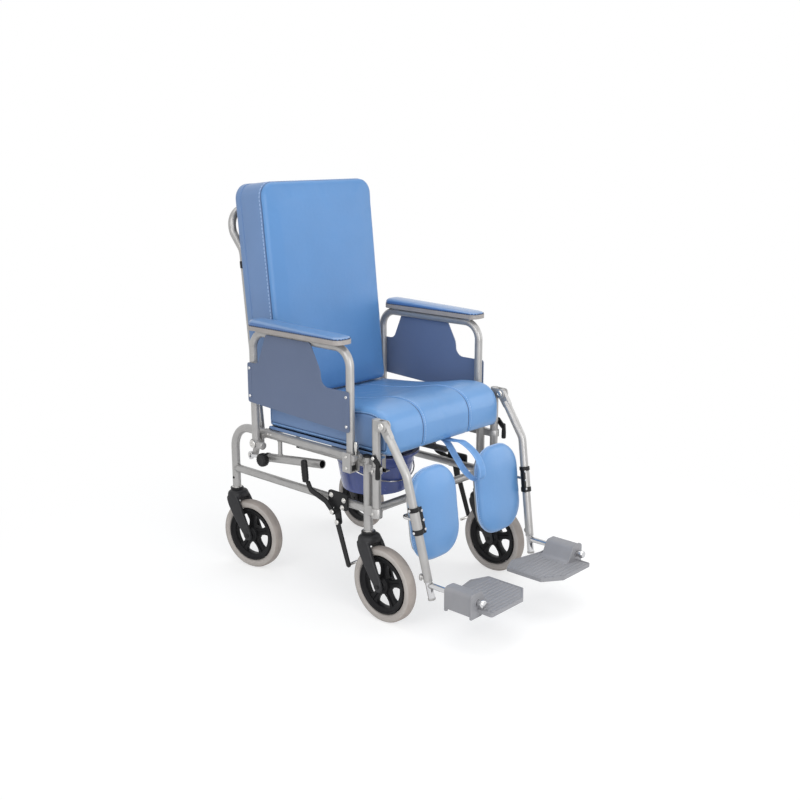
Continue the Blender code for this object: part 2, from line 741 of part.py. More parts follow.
def pad(half_a, half_b, corner, thickness, edge, crown, pinch, place):
    """A crowned pad with a piped front edge. place(a, b, depth) sets it in space."""
    groove = edge * PIPING_GROOVE
    turn = edge * PIPING_ROUND
    reach = min(half_a, half_b) - groove
    profile = [(edge, 0), (turn, turn), (0, edge), (0, thickness - edge), (turn, thickness - turn)]
    profile += [(edge, thickness), (groove, thickness - edge * PIPING_GROOVE_DEPTH)]
    for share in CROWN_RINGS:
        profile.append((groove + reach * share, thickness + crown * (1 - (1 - share) ** 2)))
    rings = []
    for inset, depth in profile:
        radius = max(corner - inset, min(half_a, half_b) * LEAST_CORNER)
        loop = rounded_loop(half_a - inset, half_b - inset, radius, pinch)
        rings.append([place(a, b, depth) for a, b in loop])
    return loft(rings)


def seat_form():
    """The seat cushion: a side outline carried across, with rolled edges, a crown and two sewn channels."""
    front_top = SEAT_Z + SEAT_FRONT_HEIGHT
    outline = rounded(
        [
            (SEAT_REAR_Y, SEAT_Z, SEAT_FOOT_RADIUS / 2),
            (SEAT_REAR_Y, SEAT_Z + SEAT_REAR_HEIGHT, SEAT_REAR_RADIUS),
            (SEAT_CREST_Y, front_top, SEAT_CREST_RADIUS),
            (SEAT_FRONT_Y, front_top, SEAT_FRONT_RADIUS),
            (SEAT_FRONT_Y, SEAT_Z, SEAT_FOOT_RADIUS),
        ]
    )
    count = len(outline)
    normals = []
    for k in range(count):
        run = outline[(k + 1) % count] - outline[k - 1]
        normals.append(Vector((-run.y, run.x)).normalized())
    stations = [SEAT_HALF, SEAT_HALF - SEAT_EDGE * PIPING_ROUND]
    stations += [SEAT_HALF - SEAT_EDGE, SEAT_HALF - 3 * SEAT_EDGE]
    stations += [(SEAT_HALF + SEAT_SEAM_X) / 2, SEAT_SEAM_X + SEAT_SEAM_HALF, SEAT_SEAM_X]
    stations += [SEAT_SEAM_X - SEAT_SEAM_HALF, SEAT_SEAM_X / 2]
    stations = [-x for x in stations] + [0.0] + stations[::-1]
    rings = []
    for x in stations:
        rim = max(0.0, abs(x) - (SEAT_HALF - SEAT_EDGE)) / SEAT_EDGE
        inset = SEAT_EDGE * (1 - math.sqrt(max(0.0, 1 - rim**2)))
        channel = SEAT_SEAM_DEPTH if abs(abs(x) - SEAT_SEAM_X) < GAP else 0.0
        crown = SEAT_CROWN * (1 - (x / SEAT_HALF) ** 2)
        ring = []
        for point, normal in zip(outline, normals):
            upper = 1.0 if point.y > SEAT_Z + SEAT_FOOT_RADIUS else 0.0
            shift = normal * (inset + (channel - crown) * upper)
            middle = 1 - (2 * (point.x - SEAT_FRONT_Y) / (SEAT_REAR_Y - SEAT_FRONT_Y) - 1) ** 2
            drawn = x * (1 - SEAT_PINCH / SEAT_HALF * middle)
            ring.append((drawn, point.x + shift.x, max(point.y + shift.y, SEAT_Z)))
        rings.append(ring)
    return loft(rings)


# Wheels and forks

def tyre_form():
    middle = WHEEL_DIAMETER / 2 - TYRE_DEPTH / 2
    section = []
    for k in range(TYRE_POINTS):
        turn = 2 * math.pi * (k + 0.5) / TYRE_POINTS
        wide = math.copysign(abs(math.cos(turn)) ** TYRE_SQUARENESS, math.cos(turn))
        deep = math.copysign(abs(math.sin(turn)) ** TYRE_SQUARENESS, math.sin(turn))
        section.append((wide, deep))
    widest = max(wide for wide, _ in section)
    deepest = max(deep for _, deep in section)
    profile = []
    for wide, deep in section:
        profile.append((middle + deep / deepest * TYRE_DEPTH / 2, wide / widest * TYRE_WIDTH / 2))
    return turned(profile, "x", (0, 0, 0), WHEEL_SEGMENTS)


def rim_form():
    outer = WHEEL_DIAMETER / 2 - TYRE_DEPTH - GAP
    inner = outer - RIM_DEPTH
    half = RIM_WIDTH / 2
    hub_half = FORK_INSIDE / 2 - SIDE_PLAY
    bore = AXLE_DIAMETER / 2 + RUNNING
    profile = [(inner, -half), (outer, -half), (outer, half), (inner, half)]
    felloe = turned(profile, "x", (0, 0, 0), WHEEL_SEGMENTS)
    hub_radius = HUB_DIAMETER / 2
    profile = [(bore, -hub_half), (hub_radius, -hub_half), (hub_radius, hub_half), (bore, hub_half)]
    hub = turned(profile, "x", (0, 0, 0), WHEEL_SEGMENTS // 2)
    steps = [("+", hub)]
    for k in range(SPOKE_COUNT):
        heading = 2 * math.pi * k / SPOKE_COUNT + math.pi / 2
        along = Vector((math.cos(heading), math.sin(heading)))
        beside = Vector((-along.y, along.x)) * SPOKE_WIDTH / 2
        low = along * (hub_radius - OVERLAP)
        high = along * (inner + OVERLAP)
        outline = [low - beside, high - beside, high + beside, low + beside]
        steps.append(("+", prism(outline, "x", -SPOKE_DEPTH / 2, SPOKE_DEPTH / 2)))
    return cut_and_joined(felloe, *steps)


def fork_form():
    """A fork about its stem's foot on the floor, with its axle and stem."""
    inner = FORK_INSIDE / 2
    outer = inner + FORK_LEG_THICKNESS
    leg_top = (0, FORK_TOP_Z - FORK_LEG_TOP / 2)
    leg = capsule(leg_top, (-CASTOR_TRAIL, AXLE_Z), FORK_LEG_TOP / 2, FORK_LEG_FOOT / 2)
    crown_foot = FORK_TOP_Z - FORK_CROWN_DEPTH
    crown_half = FORK_LEG_TOP / 2
    crown = box((-outer, -crown_half, crown_foot), (outer, crown_half, FORK_TOP_Z))
    axle_half = outer + AXLE_NUT_PROUD
    axle = tube([(-axle_half, -CASTOR_TRAIL, AXLE_Z), (axle_half, -CASTOR_TRAIL, AXLE_Z)], AXLE_DIAMETER)
    stem = tube([(0, 0, FORK_TOP_Z - OVERLAP), (0, 0, FORK_TOP_Z + STEM_LENGTH)], STEM_DIAMETER)
    legs = [prism(leg, "x", inner, outer), prism(leg, "x", -outer, -inner)]
    return cut_and_joined(crown, ("+", legs[0]), ("+", legs[1]), ("+", axle), ("+", stem))


def wheels():
    rim = rim_form()
    tyre = tyre_form()
    fork = fork_form()
    for side, s in SIDES:
        turns = {"front": 0.0, "rear": math.radians(CASTOR_REST_TURN[side])}
        for end, stem_y in (("front", 0.0), ("rear", WHEELBASE)):
            turn = turns[end]
            stem = Vector((s * FRAME_X, stem_y, 0))
            axle = stem + Matrix.Rotation(turn, 3, "Z") @ Vector((0, -CASTOR_TRAIL, AXLE_Z))
            piece(f"{end}_fork_{side}", fork, FORK_GREY, at=stem, turn=(0, 0, turn))
            piece(f"{end}_rim_{side}", rim, BLACK, at=axle, turn=(0, 0, turn))
            piece(f"{end}_tyre_{side}", tyre, TYRE_GREY, at=axle, turn=(0, 0, turn))


# Recline linkage, in the YZ plane

def guide_axes():
    """Unit vectors along the guide, forwards, and square to it, downwards."""
    tilt = math.radians(GUIDE_TILT)
    return Vector((-math.cos(tilt), math.sin(tilt))), Vector((-math.sin(tilt), -math.cos(tilt)))


def lever_pin_place():
    ahead, down = guide_axes()
    half = math.radians(RECLINE_RANGE / 2)
    hinge = Vector((BACK_HINGE_Y, BACK_HINGE_Z))
    return hinge + (down * math.cos(half) - ahead * math.sin(half)) * LEVER_LENGTH


def rod_eye_place():
    """The middle of the rod's slot, on the guide's axis. The pin's arc swings evenly to both sides of it."""
    ahead, down = guide_axes()
    half = math.radians(RECLINE_RANGE / 2)
    hinge = Vector((BACK_HINGE_Y, BACK_HINGE_Z))
    return hinge + down * LEVER_LENGTH * (1 + math.cos(half)) / 2 - ahead * LEVER_LENGTH * math.sin(half)


def on_guide(s, distance):
    """A point on the guide's axis, this far ahead of the rod's eye."""
    place = rod_eye_place() + guide_axes()[0] * distance
    return (s * FRAME_X, place.x, place.y)


# Side frames

def latch_place():
    return ARM_FRONT_Y - CRADLE_LENGTH / 2 - LATCH_REACH / 2


def side_frame(side, s):
    x = s * FRAME_X
    corners = [(x, WHEELBASE, FRAME_FOOT_Z), (x, WHEELBASE, SEAT_RAIL_Z), (x, 0, SEAT_RAIL_Z)]
    main = tube(bent(corners, FRAME_BEND), FRAME_TUBE)
    steps = [("+", tube([(x, 0, FRAME_FOOT_Z), (x, 0, SEAT_RAIL_Z + FRAME_TUBE / 2)], FRAME_TUBE))]
    steps.append(("+", tube([(x, WHEELBASE, LOWER_RAIL_Z), (x, 0, LOWER_RAIL_Z)], LOWER_TUBE)))
    steps += leg_sockets(s)
    steps += back_lug(s)
    steps += arm_seat(s)
    steps += rod_guide(s)
    for stem_y in (0, WHEELBASE):
        bore = STEM_DIAMETER + 2 * RUNNING
        top = FORK_TOP_Z + STEM_LENGTH + GAP
        steps.append(("-", tube([(x, stem_y, FORK_TOP_Z - STEM_LENGTH), (x, stem_y, top)], bore)))
    piece(f"side_frame_{side}", cut_and_joined(main, *steps), SILVER)


def leg_sockets(s):
    """The collar and the cup that hold the legrest's post, and their arms."""
    x = s * LEG_POST_X
    cup_foot = LEG_POST_FOOT_Z - CUP_FLOOR
    steps = []
    spans = ((cup_foot, LEG_POST_FOOT_Z + COLLAR_HEIGHT), (COLLAR_TOP_Z - COLLAR_HEIGHT, COLLAR_TOP_Z))
    for low, high in spans:
        steps.append(("+", tube([(x, LEG_POST_Y, low), (x, LEG_POST_Y, high)], COLLAR_DIAMETER)))
        middle = FRAME_X + LEG_POST_OFFSET / 2
        arm = (middle - COLLAR_ARM / 2, middle + COLLAR_ARM / 2)
        steps.append(("+", side_box(s, *arm, (LEG_POST_Y, low + GAP), (0, high - GAP))))
    bore = LEG_TUBE + 2 * RUNNING
    steps.append(("-", tube([(x, LEG_POST_Y, LEG_POST_FOOT_Z), (x, LEG_POST_Y, LEG_PIVOT_Z)], bore)))
    return steps


def back_lug(s):
    """The lug under the rail and the pin that the backrest turns on."""
    hinge = (BACK_HINGE_Y, BACK_HINGE_Z)
    low = (BACK_HINGE_Y - BACK_LUG_HALF, BACK_HINGE_Z - BACK_LUG_HALF)
    high = (BACK_HINGE_Y + BACK_LUG_HALF, SEAT_RAIL_Z)
    lug = side_box(s, BACK_LUG_X, BACK_LUG_X + BACK_LUG_DEPTH, low, high)
    pin_end = BACK_POST_X - BACK_TUBE / 2 - SIDE_PLAY
    return [("+", lug), ("+", across(s, pin_end, BACK_LUG_X + BACK_LUG_DEPTH / 2, hinge, BACK_PIN))]


def arm_seat(s):
    """The armrest's hinge lug and pin, the cradle for its front post, and the ears of its latch."""
    hinge = (ARM_HINGE_Y, ARM_HINGE_Z)
    lug_low = (ARM_HINGE_Y - LUG_HALF, ARM_HINGE_Z - LUG_FOOT)
    lug_high = (ARM_HINGE_Y + LUG_HALF, SEAT_RAIL_Z)
    lug_face = FRAME_OUTER_X + ARM_LUG
    steps = [("+", side_box(s, FRAME_OUTER_X - ARM_LUG, lug_face, lug_low, lug_high))]
    head = ARM_X + ARM_TUBE / 2 + SIDE_PLAY
    steps.append(("+", across(s, FRAME_OUTER_X, head + ARM_PIN_HEAD_DEPTH, hinge, ARM_PIN, TUBE_SIDES)))
    steps.append(("+", across(s, head, head + ARM_PIN_HEAD_DEPTH, hinge, ARM_PIN_HEAD, TUBE_SIDES)))
    slot_inner = ARM_X - ARM_TUBE / 2 - SIDE_PLAY / 2
    slot_outer = ARM_X + ARM_TUBE / 2 + SIDE_PLAY / 2
    front = ARM_FRONT_Y - CRADLE_LENGTH / 2
    rear = ARM_FRONT_Y + CRADLE_LENGTH / 2
    foot = ARM_FOOT_Z - GAP - CRADLE_FLOOR
    cradle_inner = slot_inner - CRADLE_WALL
    cradle_outer = slot_outer + CRADLE_WALL
    steps.append(("+", side_box(s, cradle_inner, cradle_outer, (front, foot), (rear, foot + CRADLE_HEIGHT))))
    ear_low = (front - LATCH_REACH, LATCH_PIVOT_Z - LATCH_BARREL)
    ear_high = (front + SIDE_PLAY, LATCH_PIVOT_Z + LATCH_BARREL)
    for inner, outer in latch_ears():
        steps.append(("+", side_box(s, inner, outer, ear_low, ear_high)))
    slot_low = (front - CRADLE_LENGTH, ARM_FOOT_Z - GAP)
    slot_high = (rear + CRADLE_LENGTH, foot + 2 * CRADLE_HEIGHT)
    slot = side_box(s, slot_inner, slot_outer, slot_low, slot_high)
    return steps[:3] + [steps[3], ("-", slot)] + steps[4:]


def latch_ears():
    """Inner and outer distances of the two ears beside the latch."""
    near = ARM_X - LATCH_WIDTH / 2 - SIDE_PLAY / 2
    far = ARM_X + LATCH_WIDTH / 2 + SIDE_PLAY / 2
    wall_inner = ARM_X - ARM_TUBE / 2 - SIDE_PLAY / 2 - CRADLE_WALL / 2
    wall_outer = ARM_X + ARM_TUBE / 2 + SIDE_PLAY / 2 + CRADLE_WALL / 2
    return ((wall_inner, near), (far, wall_outer))


def rod_guide(s):
    """The guide tube of the recline rod, and the strut that hangs it from the rail."""
    rear = on_guide(s, GUIDE_SETBACK)
    front = on_guide(s, GUIDE_SETBACK + GUIDE_LENGTH)
    eye = rod_eye_place()
    strut_z = eye.y + (eye.x - STRUT_Y) * math.tan(math.radians(GUIDE_TILT))
    strut = tube([(s * FRAME_X, STRUT_Y, strut_z), (s * FRAME_X, STRUT_Y, SEAT_RAIL_Z)], STRUT_DIAMETER)
    bore_from = on_guide(s, GUIDE_SETBACK - ROD_DIAMETER)
    bore_to = on_guide(s, GUIDE_SETBACK + GUIDE_LENGTH + ROD_DIAMETER)
    bore = tube([bore_from, bore_to], ROD_DIAMETER + 2 * RUNNING)
    return [("+", strut), ("+", tube([rear, front], GUIDE_DIAMETER)), ("-", bore)]


def cross_tubes():
    reach = FRAME_INNER_X - GAP
    front = tube([(-reach, 0, FRONT_CROSS_Z), (reach, 0, FRONT_CROSS_Z)], CROSS_TUBE)
    piece("front_cross_tube", front, SILVER)
    rear = tube([(-reach, REAR_CROSS_Y, SEAT_RAIL_Z), (reach, REAR_CROSS_Y, SEAT_RAIL_Z)], CROSS_TUBE)
    piece("rear_cross_tube", rear, SILVER)


# Seat and commode

def seat_base():
    """The board under the cushion, with its hole and the two runners of the pail."""
    half = SEAT_HALF
    board = box((-half, SEAT_BOARD_FRONT_Y, BOARD_Z), (half, SEAT_BOARD_REAR_Y, BOARD_Z + SEAT_BOARD))
    steps = []
    for _, s in SIDES:
        web_low = (RUNNER_FRONT_Y, LEDGE_Z)
        web_high = (RUNNER_REAR_Y, BOARD_Z + SEAT_BOARD / 2)
        steps.append(("+", side_box(s, RUNNER_X, RUNNER_X + RUNNER_WALL, web_low, web_high)))
        ledge_inner = RUNNER_X + RUNNER_WALL - RUNNER_LEDGE
        ledge_low = (RUNNER_FRONT_Y + GAP, LEDGE_Z)
        ledge_high = (RUNNER_REAR_Y - GAP, LEDGE_Z + RUNNER_WALL)
        steps.append(("+", side_box(s, ledge_inner, RUNNER_X + RUNNER_WALL / 2, ledge_low, ledge_high)))
    outline = []
    for k in range(PAIL_SEGMENTS):
        turn = 2 * math.pi * k / PAIL_SEGMENTS
        along = PAIL_Y + SEAT_HOLE_LENGTH / 2 * math.sin(turn)
        outline.append((SEAT_HOLE_WIDTH / 2 * math.cos(turn), along))
    steps.append(("-", prism(outline, "z", BOARD_Z - SEAT_BOARD, BOARD_Z + 2 * SEAT_BOARD)))
    piece("seat_base", cut_and_joined(board, *steps), BOARD_GREY)


def seat():
    piece("seat_cushion", seat_form(), BLUE)
    top = SEAT_Z - GAP - STRAP_THICKNESS / 2
    side_view = [(STRAP_ROOT_Y, top), (STRAP_ROOT_Y - STRAP_SEWN, top)]
    side_view += [(STRAP_ROOT_Y + ahead, SEAT_Z + up) for ahead, up in STRAP_LOOP]
    side_view.append((STRAP_ROOT_Y, top - STRAP_THICKNESS - GAP))
    path = [(STRAP_X, y, z) for y, z in side_view]
    piece("seat_strap", ribbon(path, STRAP_WIDTH, STRAP_THICKNESS), BLUE)


def pail():
    top = PAIL_RIM_Z + PAIL_RIM_DEPTH
    foot = top - PAIL_HEIGHT
    inner_top = PAIL_TOP_DIAMETER / 2 - PAIL_WALL
    inner_foot = PAIL_FOOT_DIAMETER / 2 - PAIL_WALL
    profile = [
        (PAIL_FOOT_DIAMETER / 2, foot),
        (PAIL_TOP_DIAMETER / 2, PAIL_RIM_Z),
        (PAIL_RIM_DIAMETER / 2, PAIL_RIM_Z),
        (PAIL_RIM_DIAMETER / 2, top),
        (inner_top, top),
        (inner_foot, foot + PAIL_WALL),
    ]
    rings = []
    for radius, height in profile:
        ring = []
        for k in range(PAIL_SEGMENTS):
            turn = 2 * math.pi * k / PAIL_SEGMENTS
            ring.append((radius * math.cos(turn), PAIL_Y + radius * math.sin(turn), height))
        rings.append(ring)
    piece("pail", loft(rings), PAIL_BLUE)
    pivot_z = PAIL_RIM_Z - BAIL_DROP
    slope = (PAIL_TOP_DIAMETER - PAIL_FOOT_DIAMETER) / 2 / (PAIL_RIM_Z - foot)
    wall = PAIL_TOP_DIAMETER / 2 - BAIL_DROP * slope
    radius = wall + BAIL_PROUD
    tilt = math.radians(BAIL_TILT)
    reach = (wall + BAIL_CLEARANCE) / (math.cos(tilt) + slope * math.sin(tilt))
    path = [(wall + 2 * GAP, PAIL_Y, pivot_z)]
    for k in range(BAIL_POINTS + 1):
        turn = math.pi * k / BAIL_POINTS
        ahead = reach * math.sin(turn)
        place = (PAIL_Y - ahead * math.cos(tilt), pivot_z - ahead * math.sin(tilt))
        path.append((radius * math.cos(turn), *place))
    path.append((-wall - 2 * GAP, PAIL_Y, pivot_z))
    piece("pail_bail", tube(path, BAIL_WIRE, 6), CHROME, about=(0, PAIL_Y, pivot_z))


# Backrest, built upright about its hinge and leant back as one

def backrest():
    hinge = (0, BACK_HINGE_Y, BACK_HINGE_Z)
    lean = (-math.radians(BACK_LEAN), 0, 0)
    for side, s in SIDES:
        piece(f"backrest_post_{side}", back_post(s), SILVER, at=hinge, turn=lean)
    corners = []
    for s in (-1, 1):
        x = s * BACK_POST_X
        leg = [(x, 0, BACK_POST_TOP + GAP), (x, 0, PUSH_BAR_KNEE), (x, PUSH_BAR_SETBACK, PUSH_BAR_SHOULDER)]
        leg.append((x, PUSH_BAR_SETBACK, PUSH_BAR_TOP))
        corners += leg if s < 0 else leg[::-1]
    path = [Vector(corners[0])]
    radii = (PUSH_BAR_KNEE_BEND, PUSH_BAR_KNEE_BEND, PUSH_BAR_BEND)
    for k, radius in enumerate((*radii, *radii[::-1]), 1):
        path += fillet(corners[k - 1], corners[k], corners[k + 1], radius, BEND_STEPS)
    path.append(Vector(corners[-1]))
    piece("push_bar", tube(path, BACK_TUBE), SILVER, at=hinge, turn=lean)
    cushion_back = -BACK_TUBE / 2 - 2 * GAP
    board_half = BACK_POST_X - BACK_TUBE / 2 - GAP
    board_face = cushion_back + GAP
    board_back = board_face + BOARD_THICKNESS
    board = box((-board_half, board_face, BOARD_BOTTOM), (board_half, board_back, BOARD_TOP))
    piece("back_board", board, BLACK, at=hinge, turn=lean)
    middle = (BACK_CUSHION_BOTTOM + BACK_CUSHION_TOP) / 2
    form = pad(
        BACK_CUSHION_WIDTH / 2,
        (BACK_CUSHION_TOP - BACK_CUSHION_BOTTOM) / 2,
        BACK_CUSHION_CORNER,
        BACK_CUSHION_THICKNESS,
        BACK_CUSHION_EDGE,
        BACK_CUSHION_CROWN,
        BACK_CUSHION_PINCH,
        lambda a, b, depth: (a, cushion_back - depth, middle + b),
    )
    piece("back_cushion", form, BLUE, at=hinge, turn=lean)


def back_post(s):
    x = s * BACK_POST_X
    inner = BACK_POST_X - BACK_TUBE / 2
    outer = BACK_POST_X + BACK_TUBE / 2
    arm = lever_pin_place() - Vector((BACK_HINGE_Y, BACK_HINGE_Z))
    pin = Matrix.Rotation(math.radians(BACK_LEAN), 2) @ arm
    lever_low, lever_high = sorted((s * (outer - LEVER_THICKNESS), s * outer))
    lever = prism(capsule((0, 0), pin, LEVER_HALF, LEVER_HALF), "x", lever_low, lever_high)
    pin_end = FRAME_X + ROD_EYE_THICKNESS / 2 + ROD_PIN_PROUD
    return cut_and_joined(
        tube([(x, 0, 0), (x, 0, BACK_POST_TOP)], BACK_TUBE),
        ("+", across(s, inner, outer, (0, 0), BACK_BOSS, TUBE_SIDES)),
        ("+", lever),
        ("+", across(s, outer - LEVER_THICKNESS / 2, pin_end, pin, ROD_PIN)),
        ("-", across(s, inner - SIDE_PLAY, outer + SIDE_PLAY, (0, 0), BACK_PIN + 2 * RUNNING)),
    )


def recline_rod(side, s):
    ahead, down = guide_axes()
    eye = rod_eye_place()
    swing = LEVER_LENGTH * (1 - math.cos(math.radians(RECLINE_RANGE / 2))) / 2
    slot_half = ROD_PIN / 2 + 2 * RUNNING
    ends = (eye - down * swing, eye + down * swing)
    eye_half = slot_half + ROD_EYE_WALL
    low = s * FRAME_X - ROD_EYE_THICKNESS / 2
    high = s * FRAME_X + ROD_EYE_THICKNESS / 2
    form = cut_and_joined(
        prism(capsule(*ends, eye_half, eye_half), "x", low, high),
        ("+", tube([on_guide(s, slot_half + ROD_EYE_WALL / 2), on_guide(s, ROD_LENGTH)], ROD_DIAMETER)),
        ("-", prism(capsule(*ends, slot_half, slot_half), "x", low - SIDE_PLAY, high + SIDE_PLAY)),
    )
    piece(f"recline_rod_{side}", form, CHROME, about=(s * FRAME_X, eye.x, eye.y))


def recline_knob(side, s):
    _, y, z = on_guide(s, GUIDE_SETBACK + KNOB_SETBACK)
    face = FRAME_X + GUIDE_DIAMETER / 2 + GAP
    outline = []
    for k in range(4 * KNOB_LOBES):
        turn = 2 * math.pi * k / (4 * KNOB_LOBES)
        radius = KNOB_DIAMETER / 2 - KNOB_FLUTE / 2 * (1 - math.cos(KNOB_LOBES * turn))
        outline.append((y + radius * math.cos(turn), z + radius * math.sin(turn)))
    low, high = sorted((s * (face + KNOB_STEM_LENGTH), s * (face + KNOB_STEM_LENGTH + KNOB_DEPTH)))
    stem = across(s, face, face + KNOB_STEM_LENGTH + KNOB_DEPTH / 2, (y, z), KNOB_STEM)
    form = cut_and_joined(prism(outline, "x", low, high), ("+", stem))
    piece(f"recline_knob_{side}", form, BLACK, about=(s * face, y, z))


# Armrests

def armrest(side, s):
    x = s * ARM_X
    hinge = (x, ARM_HINGE_Y, ARM_HINGE_Z)
    corners = [hinge, (x, ARM_HINGE_Y, ARM_TOP_Z), (x, ARM_FRONT_Y, ARM_TOP_Z), (x, ARM_FRONT_Y, ARM_FOOT_Z)]
    inner = ARM_X - ARM_TUBE / 2
    outer = ARM_X + ARM_TUBE / 2
    form = cut_and_joined(
        tube(bent(corners, ARM_BEND), ARM_TUBE),
        ("+", across(s, inner, outer, hinge[1:], ARM_BOSS, TUBE_SIDES)),
        ("-", across(s, inner - SIDE_PLAY, outer + SIDE_PLAY, hinge[1:], ARM_PIN + 2 * RUNNING, TUBE_SIDES)),
    )
    piece(f"armrest_tube_{side}", form, SILVER, about=hinge)
    middle = (ARM_PAD_FRONT_Y + ARM_PAD_REAR_Y) / 2
    pad_foot = ARM_TOP_Z + ARM_TUBE / 2 + GAP
    form = pad(
        ARM_PAD_WIDTH / 2,
        (ARM_PAD_REAR_Y - ARM_PAD_FRONT_Y) / 2,
        ARM_PAD_CORNER,
        ARM_PAD_THICKNESS,
        ARM_PAD_EDGE,
        ARM_PAD_CROWN,
        0.0,
        lambda a, b, depth: (x + s * ARM_PAD_OUT + a, middle + b, pad_foot + depth),
    )
    piece(f"armrest_pad_{side}", form, BLUE, about=hinge)
    outline = rounded(
        [
            (PANEL_REAR_Y, PANEL_REAR_FOOT_Z, PANEL_CORNER),
            (PANEL_REAR_Y, PANEL_REAR_STEP_Z, PANEL_CORNER),
            (PANEL_REAR_STEP_Y, PANEL_REAR_STEP_Z, PANEL_STEP_RADIUS),
            (PANEL_TOP_REAR_Y, PANEL_TOP_Z, PANEL_CORNER),
            (PANEL_TOP_FRONT_Y, PANEL_TOP_Z, PANEL_STEP_RADIUS),
            (PANEL_FRONT_STEP_Y, PANEL_FRONT_STEP_Z, PANEL_STEP_RADIUS),
            (PANEL_FRONT_Y, PANEL_FRONT_STEP_Z, PANEL_CORNER),
            (PANEL_FRONT_Y, PANEL_FRONT_FOOT_Z, PANEL_CORNER),
        ]
    )
    low, high = sorted((s * (outer + GAP), s * (outer + GAP + PANEL_THICKNESS)))
    piece(f"side_panel_{side}", prism(outline, "x", low, high), PANEL_BLUE, about=hinge)
    latch(side, s)


def latch(side, s):
    y = latch_place()
    half = LATCH_WIDTH / 2
    low = (y - LATCH_THICKNESS / 2, LATCH_PIVOT_Z)
    high = (y + LATCH_THICKNESS / 2, LATCH_PIVOT_Z + LATCH_HEIGHT)
    barrel = across(s, ARM_X - half, ARM_X + half, (y, LATCH_PIVOT_Z), LATCH_BARREL)
    form = cut_and_joined(barrel, ("+", side_box(s, ARM_X - half + GAP, ARM_X + half - GAP, low, high)))
    piece(f"armrest_latch_{side}", form, CHROME, about=(s * ARM_X, y, LATCH_PIVOT_Z))


# Legrests

def hanger_line(s):
    """The knee, the foot and the unit direction of the hanger's lower run."""
    knee = Vector((s * HANGER_KNEE_X, HANGER_KNEE_Y, HANGER_KNEE_Z))
    foot = Vector((s * HANGER_FOOT_X, HANGER_FOOT_Y, HANGER_FOOT_Z))
    return knee, foot, (foot - knee).normalized()


def hanger_at(s, z):
    """The point of the hanger's lower run, carried on below its foot, at this height."""
    knee, _, down = hanger_line(s)
    return knee + down * (knee.z - z) / -down.z


def legrest(side, s):
    legrest_post(side, s)
    hanger(side, s)
    leg_lever(side, s)
    calf(side, s)
    footrest(side, s)


def legrest_post(side, s):
    x = s * LEG_POST_X
    half = LEG_TUBE / 2
    pivot = (LEG_PIVOT_Y, LEG_PIVOT_Z)
    top = LEG_PIVOT_Z + CLEVIS_HALF_HEIGHT
    front = LEG_PIVOT_Y - CLEVIS_HALF_HEIGHT
    block_low = (front, LEG_PIVOT_Z - CLEVIS_HALF_HEIGHT)
    block_high = (LEG_POST_Y, top - GAP)
    block_half = half - GAP
    pin_half = half + CLEVIS_PIN_PROUD
    slot_half = half - CLEVIS_CHEEK
    slot_rear = LEG_POST_Y - half - GAP
    slot_low = (front - half, block_low[1] - half)
    lever_pin_y = LEG_POST_Y - LEG_LEVER_SETBACK
    lever_pin_end = LEG_POST_X + half + SIDE_PLAY + LEG_LEVER_THICKNESS + SIDE_PLAY
    form = cut_and_joined(
        tube([(x, LEG_POST_Y, LEG_POST_FOOT_Z + GAP), (x, LEG_POST_Y, top)], LEG_TUBE),
        ("+", side_box(s, LEG_POST_X - block_half, LEG_POST_X + block_half, block_low, block_high)),
        ("-", side_box(s, LEG_POST_X - slot_half, LEG_POST_X + slot_half, slot_low, (slot_rear, top + half))),
        ("+", across(s, LEG_POST_X - pin_half, LEG_POST_X + pin_half, pivot, CLEVIS_PIN)),
        ("+", across(s, LEG_POST_X, lever_pin_end, (lever_pin_y, LEG_LEVER_Z), LEG_LEVER_PIN)),
    )
    piece(f"legrest_post_{side}", form, SILVER, about=(x, LEG_POST_Y, LEG_POST_FOOT_Z))


def hanger(side, s):
    pivot = Vector((s * LEG_POST_X, LEG_PIVOT_Y, LEG_PIVOT_Z))
    knee, foot, down = hanger_line(s)
    out = (knee - pivot).normalized()
    tongue_half = LEG_TUBE / 2 - CLEVIS_CHEEK - SIDE_PLAY / 2
    tip = pivot + out * TONGUE_LENGTH
    outline = capsule(pivot.yz, tip.yz, TONGUE_HALF, TONGUE_HALF - SIDE_PLAY)
    low, high = sorted((s * (LEG_POST_X - tongue_half), s * (LEG_POST_X + tongue_half)))
    run = bent([pivot + out * HANGER_START, knee, foot], HANGER_BEND)
    bore_end = foot - down * FOOT_BORE_DEPTH
    slot_half = LEG_TUBE / 2
    form = cut_and_joined(
        tube(run, LEG_TUBE),
        ("+", prism(outline, "x", low, high)),
        ("-", across(s, LEG_POST_X - slot_half, LEG_POST_X + slot_half, pivot.yz, CLEVIS_PIN + 2 * RUNNING)),
        ("-", tube([foot + down * FOOT_TUBE, bore_end], FOOT_TUBE + 2 * RUNNING)),
    )
    piece(f"legrest_hanger_{side}", form, SILVER, about=tuple(pivot))


